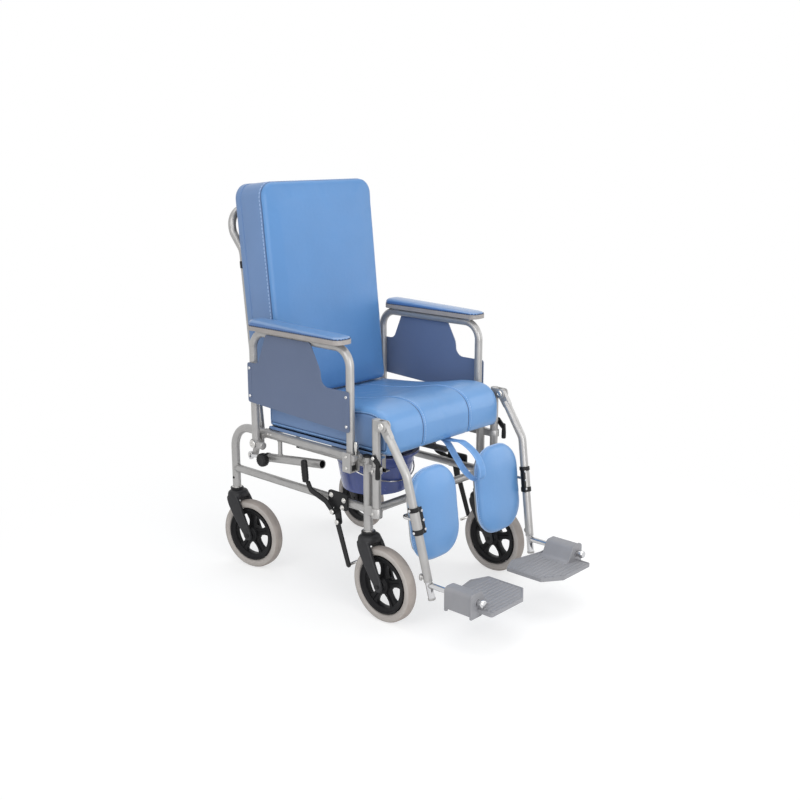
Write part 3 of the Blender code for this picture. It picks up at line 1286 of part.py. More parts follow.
def leg_lever(side, s):
    y = LEG_POST_Y - LEG_LEVER_SETBACK
    inner = LEG_POST_X + LEG_TUBE / 2 + SIDE_PLAY
    low, high = sorted((s * inner, s * (inner + LEG_LEVER_THICKNESS)))
    tip = (y - LEG_LEVER_REACH, LEG_LEVER_Z - LEG_LEVER_DROP)
    plate = prism(capsule((y, LEG_LEVER_Z), tip, LEG_LEVER_HALF, LEG_LEVER_HALF - SIDE_PLAY), "x", low, high)
    grip_x = s * (inner + LEG_GRIP_DIAMETER / 2)
    grip_top = tip[1] + LEG_LEVER_HALF
    grip = tube([(grip_x, tip[0], grip_top), (grip_x, tip[0], grip_top - LEG_GRIP_LENGTH)], LEG_GRIP_DIAMETER)
    bore_size = LEG_LEVER_PIN + 2 * RUNNING
    bore = across(s, inner - SIDE_PLAY, inner + LEG_GRIP_DIAMETER, (y, LEG_LEVER_Z), bore_size)
    form = cut_and_joined(plate, ("+", grip), ("-", bore))
    piece(f"legrest_lever_{side}", form, BLACK, about=(s * inner, y, LEG_LEVER_Z))


def calf_axis_y():
    return CALF_PAD_BACK_Y + GAP + CALF_PLATE_THICKNESS + CALF_AXIS_SETBACK


def calf(side, s):
    """The bracket on the hanger, the plate that tilts on its rod, and the pad on the plate."""
    _, _, down = hanger_line(s)
    seat_point = hanger_at(s, CALF_PIVOT_Z)
    half = CALF_COLLAR_LENGTH / 2
    axis_y = calf_axis_y()
    rod_x = CALF_PAD_X + CALF_PAD_WIDTH / 2 + CALF_SIDE_GAP + CALF_ROD / 2
    start = seat_point.y + (LEG_TUBE + CALF_COLLAR_DIAMETER) / 4
    corners = [(s * rod_x, y, CALF_PIVOT_Z) for y in (start, axis_y)]
    corners.append((s * CALF_ROD_END_X, axis_y, CALF_PIVOT_Z))
    form = cut_and_joined(
        tube([seat_point - down * half, seat_point + down * half], CALF_COLLAR_DIAMETER),
        ("+", tube(bent(corners, CALF_ROD_BEND), CALF_ROD, PIN_SIDES)),
        ("-", tube([seat_point - down * 2 * half, seat_point + down * 2 * half], LEG_TUBE + 2 * GAP)),
    )
    piece(f"calf_bracket_{side}", form, BLACK)
    axis = (s * CALF_PAD_X, axis_y, CALF_PIVOT_Z)
    lean = (-math.radians(CALF_LEAN), 0, 0)
    middle = (CALF_PAD_FOOT_Z + CALF_PAD_TOP_Z) / 2
    half_a = CALF_PAD_WIDTH / 2
    half_b = (CALF_PAD_TOP_Z - CALF_PAD_FOOT_Z) / 2
    inset = CALF_PLATE_INSET
    outline = rounded_loop(half_a - inset, half_b - inset, CALF_PAD_CORNER - inset, 0.0)
    outline = [(s * CALF_PAD_X + a, middle + b) for a, b in outline]
    face = CALF_PAD_BACK_Y + GAP
    steps = []
    for offset in (-CALF_EAR_SPREAD / 2, CALF_EAR_SPREAD / 2):
        ear = (CALF_PAD_X + offset - CALF_EAR_LENGTH / 2, CALF_PAD_X + offset + CALF_EAR_LENGTH / 2)
        steps.append(("+", across(s, *ear, axis[1:], CALF_EAR, TUBE_SIDES)))
    bore = CALF_ROD + 2 * RUNNING
    steps.append(("-", across(s, CALF_PAD_X - half_a, CALF_PAD_X + half_a, axis[1:], bore)))
    form = cut_and_joined(prism(outline, "y", face, face + CALF_PLATE_THICKNESS), *steps)
    piece(f"calf_plate_{side}", form, SILVER, about=axis, turn=lean)
    form = pad(
        half_a,
        half_b,
        CALF_PAD_CORNER,
        CALF_PAD_THICKNESS,
        CALF_PAD_EDGE,
        CALF_PAD_CROWN,
        CALF_PAD_PINCH,
        lambda a, b, depth: (s * CALF_PAD_X + a, CALF_PAD_BACK_Y - depth, middle + b),
    )
    piece(f"calf_pad_{side}", form, BLUE, about=axis, turn=lean)


def footrest(side, s):
    _, foot, down = hanger_line(s)
    low = hanger_at(s, FOOT_TUBE_FOOT_Z)
    axle = hanger_at(s, FOOT_AXLE_Z)
    shaft = tube([axle, (axle.x, FOOT_AXLE_TIP_Y, axle.z)], FOOT_AXLE)
    form = cut_and_joined(tube([foot - down * FOOT_TUBE_INSIDE, low], FOOT_TUBE), ("+", shaft))
    piece(f"footrest_tube_{side}", form, SILVER, about=tuple(foot))
    hinge_x = abs(axle.x)
    plate_foot = FOOT_PLATE_TOP_Z - FOOT_PLATE_THICKNESS
    box_half = FOOT_BOX_WIDTH / 2
    chamfer_x = FOOT_INNER_X + FOOT_CHAMFER_X
    corners = [
        (FOOT_INNER_X, FOOT_REAR_Y - FOOT_REAR_CHAMFER_Y),
        (chamfer_x, FOOT_REAR_Y),
        (hinge_x - box_half, FOOT_REAR_Y - FOOT_REAR_CHAMFER_Y),
        (hinge_x, FOOT_REAR_Y - FOOT_REAR_CHAMFER_Y),
        (hinge_x, FOOT_FRONT_Y),
        (chamfer_x, FOOT_FRONT_Y),
        (FOOT_INNER_X, FOOT_FRONT_Y + FOOT_CHAMFER_Y),
    ]
    outline = rounded([(s * a, b, FOOT_CORNER) for a, b in corners], 2)
    top = FOOT_AXLE_Z + FOOT_BOX_TOP
    box_foot = FOOT_AXLE_Z - FOOT_BOX_FOOT
    case = rounded(
        [
            (s * (hinge_x - box_half), box_foot, FOOT_CORNER),
            (s * (hinge_x + box_half), box_foot, FOOT_CORNER),
            (s * (hinge_x + box_half), top, FOOT_BOX_CORNER),
            (s * (hinge_x - box_half), top, FOOT_BOX_CORNER),
        ]
    )
    bore = [(axle.x, FOOT_BOX_REAR_Y + box_half, axle.z), (axle.x, FOOT_BOX_FRONT_Y - box_half, axle.z)]
    form = cut_and_joined(
        prism(outline, "z", plate_foot, FOOT_PLATE_TOP_Z),
        ("+", prism(case, "y", FOOT_BOX_FRONT_Y, FOOT_BOX_REAR_Y)),
        ("-", tube(bore, FOOT_AXLE + 2 * RUNNING)),
    )
    piece(f"footplate_{side}", form, FOOT_GREY, about=tuple(axle))


# Brakes

def brake(side, s):
    plate_inner = FRAME_X + LOWER_TUBE / 2 + GAP
    plate_outer = plate_inner + BRAKE_PLATE
    bar_inner = plate_outer + BRAKE_LAYER_GAP
    bar_outer = bar_inner + BRAKE_LAYER
    lever_inner = bar_outer + BRAKE_LAYER_GAP
    lever_outer = lever_inner + BRAKE_LAYER
    corner = BRAKE_PLATE_CORNER
    outline = rounded(
        [
            (BRAKE_PLATE_FRONT_Y, BRAKE_PLATE_FOOT_Z, corner),
            (BRAKE_PLATE_REAR_Y, BRAKE_PLATE_FOOT_Z, corner),
            (BRAKE_PLATE_REAR_Y, BRAKE_PLATE_TOP_Z, corner),
            (BRAKE_PLATE_FRONT_Y, BRAKE_PLATE_TOP_Z, corner),
        ]
    )
    low, high = sorted((s * plate_inner, s * plate_outer))
    ear_top = (BRAKE_LEVER_PIVOT[0], (BRAKE_PLATE_FOOT_Z + BRAKE_PLATE_TOP_Z) / 2)
    ear = prism(capsule(ear_top, BRAKE_BAR_PIVOT, BRAKE_EAR_HALF, BRAKE_EAR_HALF - SIDE_PLAY), "x", low, high)
    form = cut_and_joined(
        prism(outline, "x", low, high),
        ("+", ear),
        ("+", across(s, plate_inner + GAP, bar_outer, BRAKE_BAR_PIVOT, BRAKE_PIN)),
        ("+", across(s, plate_inner + GAP, lever_outer + SIDE_PLAY, BRAKE_LEVER_PIVOT, BRAKE_PIN)),
    )
    piece(f"brake_bracket_{side}", form, BLACK)
    bore = BRAKE_PIN + 2 * RUNNING
    low, high = sorted((s * bar_inner, s * bar_outer))
    bar = capsule(BRAKE_BAR_PIVOT, BRAKE_BAR_FOOT, BRAKE_BAR_HALF, BRAKE_BAR_HALF - SIDE_PLAY)
    form = cut_and_joined(
        prism(bar, "x", low, high),
        ("+", across(s, bar_outer - BRAKE_ROD_LENGTH, bar_outer - GAP, BRAKE_BAR_FOOT, BRAKE_ROD)),
        ("-", across(s, bar_inner - SIDE_PLAY, bar_outer + SIDE_PLAY, BRAKE_BAR_PIVOT, bore)),
    )
    piece(f"brake_bar_{side}", form, BLACK, about=(s * bar_inner, *BRAKE_BAR_PIVOT))
    low, high = sorted((s * lever_inner, s * lever_outer))
    run = [BRAKE_LEVER_PIVOT, BRAKE_LEVER_ELBOW, BRAKE_LEVER_WRIST, BRAKE_LEVER_NECK]
    grip_x = s * (lever_inner + BRAKE_GRIP / 2)
    form = cut_and_joined(
        prism(bar_outline(run, BRAKE_LEVER_HALF), "x", low, high),
        ("+", tube([(grip_x, *BRAKE_LEVER_NECK), (grip_x, *BRAKE_GRIP_TOP)], BRAKE_GRIP)),
        ("-", across(s, lever_inner - SIDE_PLAY, lever_outer + SIDE_PLAY, BRAKE_LEVER_PIVOT, bore)),
    )
    piece(f"brake_lever_{side}", form, BLACK, about=(s * lever_inner, *BRAKE_LEVER_PIVOT))


def centre_chair():
    """Moves the chair along Y until its box is centred on the origin."""
    bpy.context.view_layer.update()
    reach = []
    for made in CHAIR.children:
        reach += [(made.matrix_world @ vertex.co).y for vertex in made.data.vertices]
    CHAIR.location.y = -(min(reach) + max(reach)) / 2
    bpy.context.view_layer.update()


wheels()
cross_tubes()
seat_base()
seat()
pail()
backrest()
for SIDE, SIGN in SIDES:
    side_frame(SIDE, SIGN)
    recline_rod(SIDE, SIGN)
    recline_knob(SIDE, SIGN)
    armrest(SIDE, SIGN)
    legrest(SIDE, SIGN)
    brake(SIDE, SIGN)
centre_chair()
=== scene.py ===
import math

import bmesh
import bpy
import numpy as np
from mathutils import Matrix, Vector
from mathutils.bvhtree import BVHTree
from mathutils.kdtree import KDTree


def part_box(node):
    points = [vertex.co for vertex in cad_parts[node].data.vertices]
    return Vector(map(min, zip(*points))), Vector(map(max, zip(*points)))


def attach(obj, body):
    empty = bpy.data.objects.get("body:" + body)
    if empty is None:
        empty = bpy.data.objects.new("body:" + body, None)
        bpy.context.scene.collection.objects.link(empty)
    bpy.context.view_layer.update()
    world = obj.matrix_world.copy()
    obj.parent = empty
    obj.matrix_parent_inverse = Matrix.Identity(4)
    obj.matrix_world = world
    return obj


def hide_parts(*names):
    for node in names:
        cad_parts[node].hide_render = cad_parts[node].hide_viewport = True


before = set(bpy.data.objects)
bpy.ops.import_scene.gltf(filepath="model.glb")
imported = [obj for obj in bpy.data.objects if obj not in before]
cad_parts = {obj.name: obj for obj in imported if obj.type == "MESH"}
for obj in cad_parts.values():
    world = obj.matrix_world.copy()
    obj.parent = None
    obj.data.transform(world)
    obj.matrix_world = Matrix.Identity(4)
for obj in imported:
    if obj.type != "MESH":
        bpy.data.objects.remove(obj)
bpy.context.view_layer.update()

SCENE = bpy.context.scene
SIDES = (("right", -1), ("left", 1))
X, Y, Z = Vector((1, 0, 0)), Vector((0, 1, 0)), Vector((0, 0, 1))

# Places have Y from the front stems, as the parts are drawn, and are moved by Y0 when they are put.
# A place in a side view is (y, z).
Y0 = sum(corner.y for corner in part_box("front_cross_tube")) / 2
MAIN_R, TUBE_R = 0.012, 0.011
WHEELBASE = 0.532
AXLE = Vector((0, -0.057, 0.1))
FRAME_X, RAIL_Z, LOWER_Z, FOOT_Z = 0.23, 0.418, 0.29, 0.2283
CROSS_HALF, FRONT_CROSS_Z, REAR_CROSS_Y = 0.2177, 0.283, 0.395
GUIDE_END, GUIDE_TILT = (0.4636, 0.34026), math.radians(6.65)
BACK_X, BACK_HINGE, LEVER_PIN = 0.2045, (0.445, 0.4), (0.46389, 0.34305)
LEAN = Matrix.Translation((0, *BACK_HINGE)) @ Matrix.Rotation(math.radians(-6.0), 4, "X")
SEAT_Z, SEAT_HALF = 0.4366, 0.2248
PAIL_Y = 0.195
STRAP_X, STRAP_HALF = 0.018, 0.013
ARM_X, ARM_HINGE, ARM_FRONT_Y, ARM_TOP_Z = 0.257, (0.406, 0.393), 0.034, 0.707
ARM_PAD_X = ARM_X + 0.01
LATCH = (0.014, 0.43)
LEG_X, LEG_Y, CLEVIS, RELEASE = 0.24, -0.04, (-0.065, 0.524), (-0.044, 0.44)
KNEE, SHIN_END = (0.238, -0.14, 0.41), (0.2165, -0.187, 0.165)
CALF_AXIS, CALF_LEAN = (0.132, -0.1157, 0.297), math.radians(-7.0)
FOOT_AXLE_Z, PLATE_TOP = 0.133, 0.115
BRAKE_PIVOT, BAR_PIVOT, BAR_END = (0.104, 0.265), (0.093, 0.237), (0.054, 0.128)

# The cushions' cloth
CLOTH_FRAMES, CLOTH_PRESSURE, CLOTH_MASS, CLOTH_QUALITY = 20, 4.0, 0.3, 5
# How far off the skin a search for it starts, and how far it goes
SEARCH_START, SEARCH_REACH = 0.015, 0.04


def placed(name, data):
    obj = bpy.data.objects.new(name, data)
    SCENE.collection.objects.link(obj)
    return obj


def set_camera():
    data = bpy.data.cameras.new("camera")
    data.lens = 47.71
    data.sensor_width = 36.0
    camera = placed("camera", data)
    forward = Vector((0.7162, 0.6564, -0.237)).normalized()
    right = forward.cross(Z).normalized()
    turn = Matrix((right, right.cross(forward), -forward)).transposed().to_4x4()
    camera.matrix_world = Matrix.Translation((-2.074, -1.8927, 1.2061)) @ turn
    SCENE.camera = camera


# Materials

SKINS = {}


def skin(name, colour, rough, metal=0.0, mottle=(7.0, 0.06), bumps=(), worn=None, level=0.5, coat=(0.0, 0.03)):
    """A procedural finish: mottled colour, uneven roughness, layered bumps and, where worn, rubbed edges."""
    mat = bpy.data.materials.new(name)
    mat.use_nodes = True
    tree = mat.node_tree
    shader = tree.nodes["Principled BSDF"]
    place = tree.nodes.new("ShaderNodeTexCoord").outputs["Object"]

    def noise(scale, detail, kind="ShaderNodeTexNoise"):
        node = tree.nodes.new(kind)
        node.inputs["Scale"].default_value = scale
        node.inputs["Detail"].default_value = detail
        tree.links.new(place, node.inputs["Vector"])
        return node.outputs[0]

    def ranged(source, low, high, start=0.3, end=0.7):
        node = tree.nodes.new("ShaderNodeMapRange")
        for label, value in (("From Min", start), ("From Max", end), ("To Min", low), ("To Max", high)):
            node.inputs[label].default_value = value
        tree.links.new(source, node.inputs["Value"])
        return node.outputs["Result"]

    def mixed(share, first, second):
        node = tree.nodes.new("ShaderNodeMix")
        node.data_type = "RGBA"
        tree.links.new(share, node.inputs[0])
        for slot, value in ((6, first), (7, second)):
            if isinstance(value, tuple):
                node.inputs[slot].default_value = (*value, 1.0)
            else:
                tree.links.new(value, node.inputs[slot])
        return node.outputs[2]

    scale, amount = mottle
    dark = tuple(c * (1 - amount) for c in colour)
    pale = tuple(min(1.0, c * (1 + amount)) for c in colour)
    tone = mixed(ranged(noise(scale, 5.0), 0.0, 1.0), dark, pale)
    if worn:
        rubbed, start, share = worn
        point = tree.nodes.new("ShaderNodeNewGeometry").outputs["Pointiness"]
        patch = tree.nodes.new("ShaderNodeMath")
        patch.operation = "MULTIPLY"
        tree.links.new(ranged(point, 0.0, share, start, start + 0.08), patch.inputs[0])
        tree.links.new(ranged(noise(90.0, 4.0), 0.2, 1.0), patch.inputs[1])
        tone = mixed(patch.outputs[0], tone, rubbed)
    tree.links.new(tone, shader.inputs["Base Color"])
    tree.links.new(ranged(noise(scale * 6.0, 4.0), rough[0], rough[1]), shader.inputs["Roughness"])
    shader.inputs["Metallic"].default_value = metal
    shader.inputs["Specular IOR Level"].default_value = level
    shader.inputs["Coat Weight"].default_value, shader.inputs["Coat Roughness"].default_value = coat
    normal = None
    for kind, size, height in bumps:
        node = tree.nodes.new("ShaderNodeBump")
        node.inputs["Strength"].default_value = 1.0
        node.inputs["Distance"].default_value = height
        source = noise(1.0 / size, 2.0, "ShaderNodeTexVoronoi" if kind == "cells" else "ShaderNodeTexNoise")
        tree.links.new(source, node.inputs["Height"])
        if normal:
            tree.links.new(normal, node.inputs["Normal"])
        normal = node.outputs["Normal"]
    if normal:
        tree.links.new(normal, shader.inputs["Normal"])
    SKINS[name] = mat


def set_skins():
    grain = (("cells", 0.0016, 0.0001), ("soft", 0.012, 0.0003))
    for name, colour, rough, level, coat in (
        ("vinyl", (0.12, 0.28, 0.55), (0.32, 0.44), 0.44, (0.32, 0.22)),
        # The backrest's front-face vinyl: the same vinyl made darker, as painted shade
        ("back_vinyl_shaded", (0.098, 0.244, 0.5), (0.32, 0.44), 0.36, (0.08, 0.22)),
        # The arm pads' top vinyl: the same vinyl greyed, as a painted sheen
        ("arm_top_sheen", (0.125, 0.245, 0.465), (0.28, 0.4), 0.5, (0.7, 0.16)),
        # The cushions' side vinyl: the same vinyl made darker and greyer for the side and under faces, as painted shade
        # and sheen
        ("boxing_shaded", (0.134, 0.23, 0.424), (0.36, 0.48), 0.42, (0.2, 0.25)),
        # The arm pads' side vinyl: the same vinyl made darker, as painted shade
        ("arm_side_shaded", (0.07, 0.16, 0.37), (0.32, 0.44), 0.4, (0.3, 0.22)),
    ):
        skin(name, colour, rough, mottle=(5.0, 0.05), bumps=grain, level=level, coat=coat)
    fine = (("cells", 0.0009, 0.00006), ("soft", 0.02, 0.00025))
    peel = (("soft", 0.003, 0.00004), ("soft", 0.0004, 0.00002))
    moulded = (("soft", 0.0011, 0.00006), ("soft", 0.01, 0.0001))
    dusty = (("soft", 0.002, 0.00012), ("soft", 0.014, 0.0002))
    footing = (("soft", 0.001, 0.0001), ("soft", 0.012, 0.00012))
    for name, colour, rough, metal, mottle, bumps in (
        # The calf pads' piping: the same vinyl made lighter, as a painted highlight along the edge
        ("piping_highlight", (0.29, 0.44, 0.67), (0.3, 0.4), 0.0, (7.0, 0.06), (("cells", 0.0012, 0.00006),)),
        ("thread", (0.4, 0.53, 0.74), (0.6, 0.75), 0.0, (300.0, 0.12), ()),
        # Very dark thread for the seam lines in the grooves and along the arm pads' lower edge: real thread, darkened
        # as painted shade of the grooves
        ("thread_seam_shade", (0.034, 0.066, 0.15), (0.55, 0.7), 0.0, (300.0, 0.15), ()),
        ("tray", (0.33, 0.305, 0.29), (0.42, 0.56), 0.0, (30.0, 0.06), (("soft", 0.0012, 0.00008),)),
        ("webbing", (0.125, 0.285, 0.565), (0.46, 0.6), 0.0, (60.0, 0.1),
         (("cells", 0.0011, 0.0002), ("soft", 0.004, 0.00015))),
        ("panel", (0.1, 0.136, 0.228), (0.36, 0.48), 0.0, (4.0, 0.05), fine),
        # The side panels' inner face: the panel paint made lighter, as painted light on a shaded face
        ("panel_inside_lit", (0.13, 0.177, 0.3), (0.36, 0.48), 0.0, (4.0, 0.05), fine),
        ("weld", (0.34, 0.335, 0.33), (0.36, 0.5), 0.5, (200.0, 0.12), (("soft", 0.0015, 0.0003),)),
        ("chrome", (0.6, 0.6, 0.61), (0.08, 0.18), 1.0, (40.0, 0.05), (("soft", 0.004, 0.00002),)),
        ("zinc", (0.62, 0.61, 0.59), (0.22, 0.36), 1.0, (160.0, 0.1), (("soft", 0.001, 0.00004),)),
        ("tyre", (0.415, 0.382, 0.356), (0.56, 0.72), 0.0, (28.0, 0.07), dusty),
        ("tread", (0.345, 0.305, 0.278), (0.6, 0.76), 0.0, (34.0, 0.1), dusty),
        ("footplate", (0.262, 0.262, 0.278), (0.44, 0.58), 0.0, (18.0, 0.06), footing),
        ("pail", (0.06, 0.09, 0.29), (0.16, 0.28), 0.0, (9.0, 0.08), (("soft", 0.008, 0.00016),)),
    ):
        skin(name, colour, rough, metal, mottle, bumps)
    skin("silver", (0.392, 0.385, 0.378), (0.28, 0.4), 0.5, (45.0, 0.05), peel, ((0.3, 0.29, 0.28), 0.56, 0.45))
    scuffed = ((0.07, 0.07, 0.074), 0.56, 0.5)
    skin("black", (0.011, 0.011, 0.012), (0.36, 0.5), 0.0, (20.0, 0.2), moulded, scuffed, 0.24)
    scratched = ((0.045, 0.045, 0.047), 0.57, 0.4)
    skin("rim", (0.007, 0.007, 0.008), (0.4, 0.54), 0.0, (20.0, 0.2), moulded, scratched, 0.18)
    skin("fork", (0.022, 0.022, 0.024), (0.4, 0.54), 0.0, (16.0, 0.12), moulded, scuffed, 0.28)
    board = (("soft", 0.0008, 0.00008), ("cells", 0.003, 0.00006))
    skin("board", (0.016, 0.016, 0.018), (0.48, 0.64), 0.0, (30.0, 0.15), board, level=0.25)


# Shapes

def turns(count):
    return [2 * math.pi * k / count for k in range(count)]


def powered(value, power):
    """The power of the value's size, with the value's sign."""
    return math.copysign(abs(value) ** power, value)


def fillet(before, corner, after, radius, steps):
    corner = Vector(corner)
    back = (Vector(before) - corner).normalized()
    ahead = (Vector(after) - corner).normalized()
    angle = back.angle(ahead)
    centre = corner + (back + ahead).normalized() * radius / math.sin(angle / 2)
    first = corner + back * radius / math.tan(angle / 2) - centre
    last = corner + ahead * radius / math.tan(angle / 2) - centre
    axis = first.cross(last).normalized()
    sweep = math.pi - angle
    return [centre + Matrix.Rotation(sweep * k / steps, 3, axis) @ first for k in range(steps + 1)]


def bent(corners, radius, steps=12):
    """A line through the corners, each inner one bent by the radius, or by its own."""
    radii = radius if isinstance(radius, tuple) else [radius] * len(corners)
    path = [Vector(corners[0])]
    for k in range(1, len(corners) - 1):
        path += fillet(corners[k - 1], corners[k], corners[k + 1], radii[k - 1], steps)
    return path + [Vector(corners[-1])]


def rounded(corners, steps=8):
    """A closed outline in a plane, each corner (a, b, radius)."""
    outline = []
    for k, (a, b, radius) in enumerate(corners):
        before = corners[k - 1]
        after = corners[(k + 1) % len(corners)]
        arc = fillet((*before[:2], 0), (a, b, 0), (*after[:2], 0), radius, steps)
        outline += [(p.x, p.y) for p in arc]
    return outline


def oblong(low, high, radius, steps=8):
    """A rectangle with one radius, or with one for each corner from (high, low) round to (low, low)."""
    radii = radius if isinstance(radius, tuple) else (radius,) * 4
    corners = ((high[0], low[1]), high, (low[0], high[1]), low)
    return rounded([(*corner, r) for corner, r in zip(corners, radii)], steps)


def capsule(first, last, first_radius, last_radius, steps=12):
    first, last = Vector(first), Vector(last)
    reach = last - first
    heading = math.atan2(reach.y, reach.x)
    open_by = math.acos((first_radius - last_radius) / reach.length)
    outline = []
    for centre, radius, start, end in (
        (last, last_radius, -open_by, open_by),
        (first, first_radius, open_by, 2 * math.pi - open_by),
    ):
        for k in range(steps + 1):
            turn = heading + start + (end - start) * k / steps
            outline.append((centre.x + radius * math.cos(turn), centre.y + radius * math.sin(turn)))
    return outline


def evened(path, spacing, closed=False):
    points = [Vector(p) for p in path] + ([Vector(path[0])] if closed else [])
    lengths = np.cumsum([0.0] + [(b - a).length for a, b in zip(points, points[1:])])
    count = max(2, round(lengths[-1] / spacing))
    marks = np.linspace(0, lengths[-1], count + 1)[: count if closed else count + 1]
    columns = [np.interp(marks, lengths, [p[k] for p in points]) for k in range(3)]
    return [Vector(p) for p in zip(*columns)]


def ring_path(half_a, half_b, corner, low=None):
    """An evenly spaced rounded rectangle about the origin, with its own radius for the two low corners."""
    low = corner if low is None else low
    outline = oblong((-half_a, -half_b), (half_a, half_b), (low, corner, corner, low), 16)
    return evened([Vector((*p, 0)) for p in outline], 0.003, True)


def spline(points, steps):
    """A smooth line through the points."""
    out = []
    for k in range(len(points) - 1):
        a, b = points[max(0, k - 1)], points[k]
        c, d = points[k + 1], points[min(len(points) - 1, k + 2)]
        for j in range(steps):
            t = j / steps
            curve = 2 * b + (c - a) * t + (2 * a - 5 * b + 4 * c - d) * t**2
            out.append(0.5 * (curve + (3 * b - a - 3 * c + d) * t**3))
    return out + [points[-1]]


def heading(path, k, closed=False):
    """The step from the point before to the point after, or only half of it at an open end."""
    before = path[k - 1] if k or closed else path[k]
    after = path[(k + 1) % len(path)] if k + 1 < len(path) or closed else path[k]
    return after - before


def along(path, closed):
    """Two directions across the path at each point, carried on without twist."""
    frames = []
    normal = None
    for k in range(len(path)):
        ahead = heading(path, k, closed).normalized()
        normal = ahead.orthogonal() if normal is None else normal - ahead * normal.dot(ahead)
        normal = normal.normalized()
        frames.append((normal, ahead.cross(normal)))
    return frames


def circle(centre, a, b, size, count):
    """Points round the centre, in the plane of two directions."""
    return [centre + (a * math.cos(t) + b * math.sin(t)) * size for t in turns(count)]


def flat(a, b, h):
    return (a, b, h)


def baked(obj):
    """The object's mesh with its modifiers applied. The object itself is removed."""
    mesh = bpy.data.meshes.new_from_object(obj.evaluated_get(bpy.context.evaluated_depsgraph_get()))
    bpy.data.objects.remove(obj)
    return mesh


def dress(mesh, looks):
    """Gives each face its finish, and shades the mesh smooth."""
    finishes = list(dict.fromkeys(looks))
    for finish in finishes:
        mesh.materials.append(SKINS[finish])
    mesh.polygons.foreach_set("material_index", [finishes.index(look) for look in looks])
    mesh.shade_smooth()


def rider(name, mesh, body, nodes):
    """The mesh as a piece that rides on the body and stands for the CAD nodes."""
    obj = placed(name, mesh)
    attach(obj, body)
    if nodes:
        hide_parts(*nodes)
    return obj


def break_edges(obj, width, angle):
    edge = obj.modifiers.new("edges", "BEVEL")
    edge.width = width
    edge.segments = 2
    edge.limit_method = "ANGLE"
    edge.angle_limit = math.radians(angle)


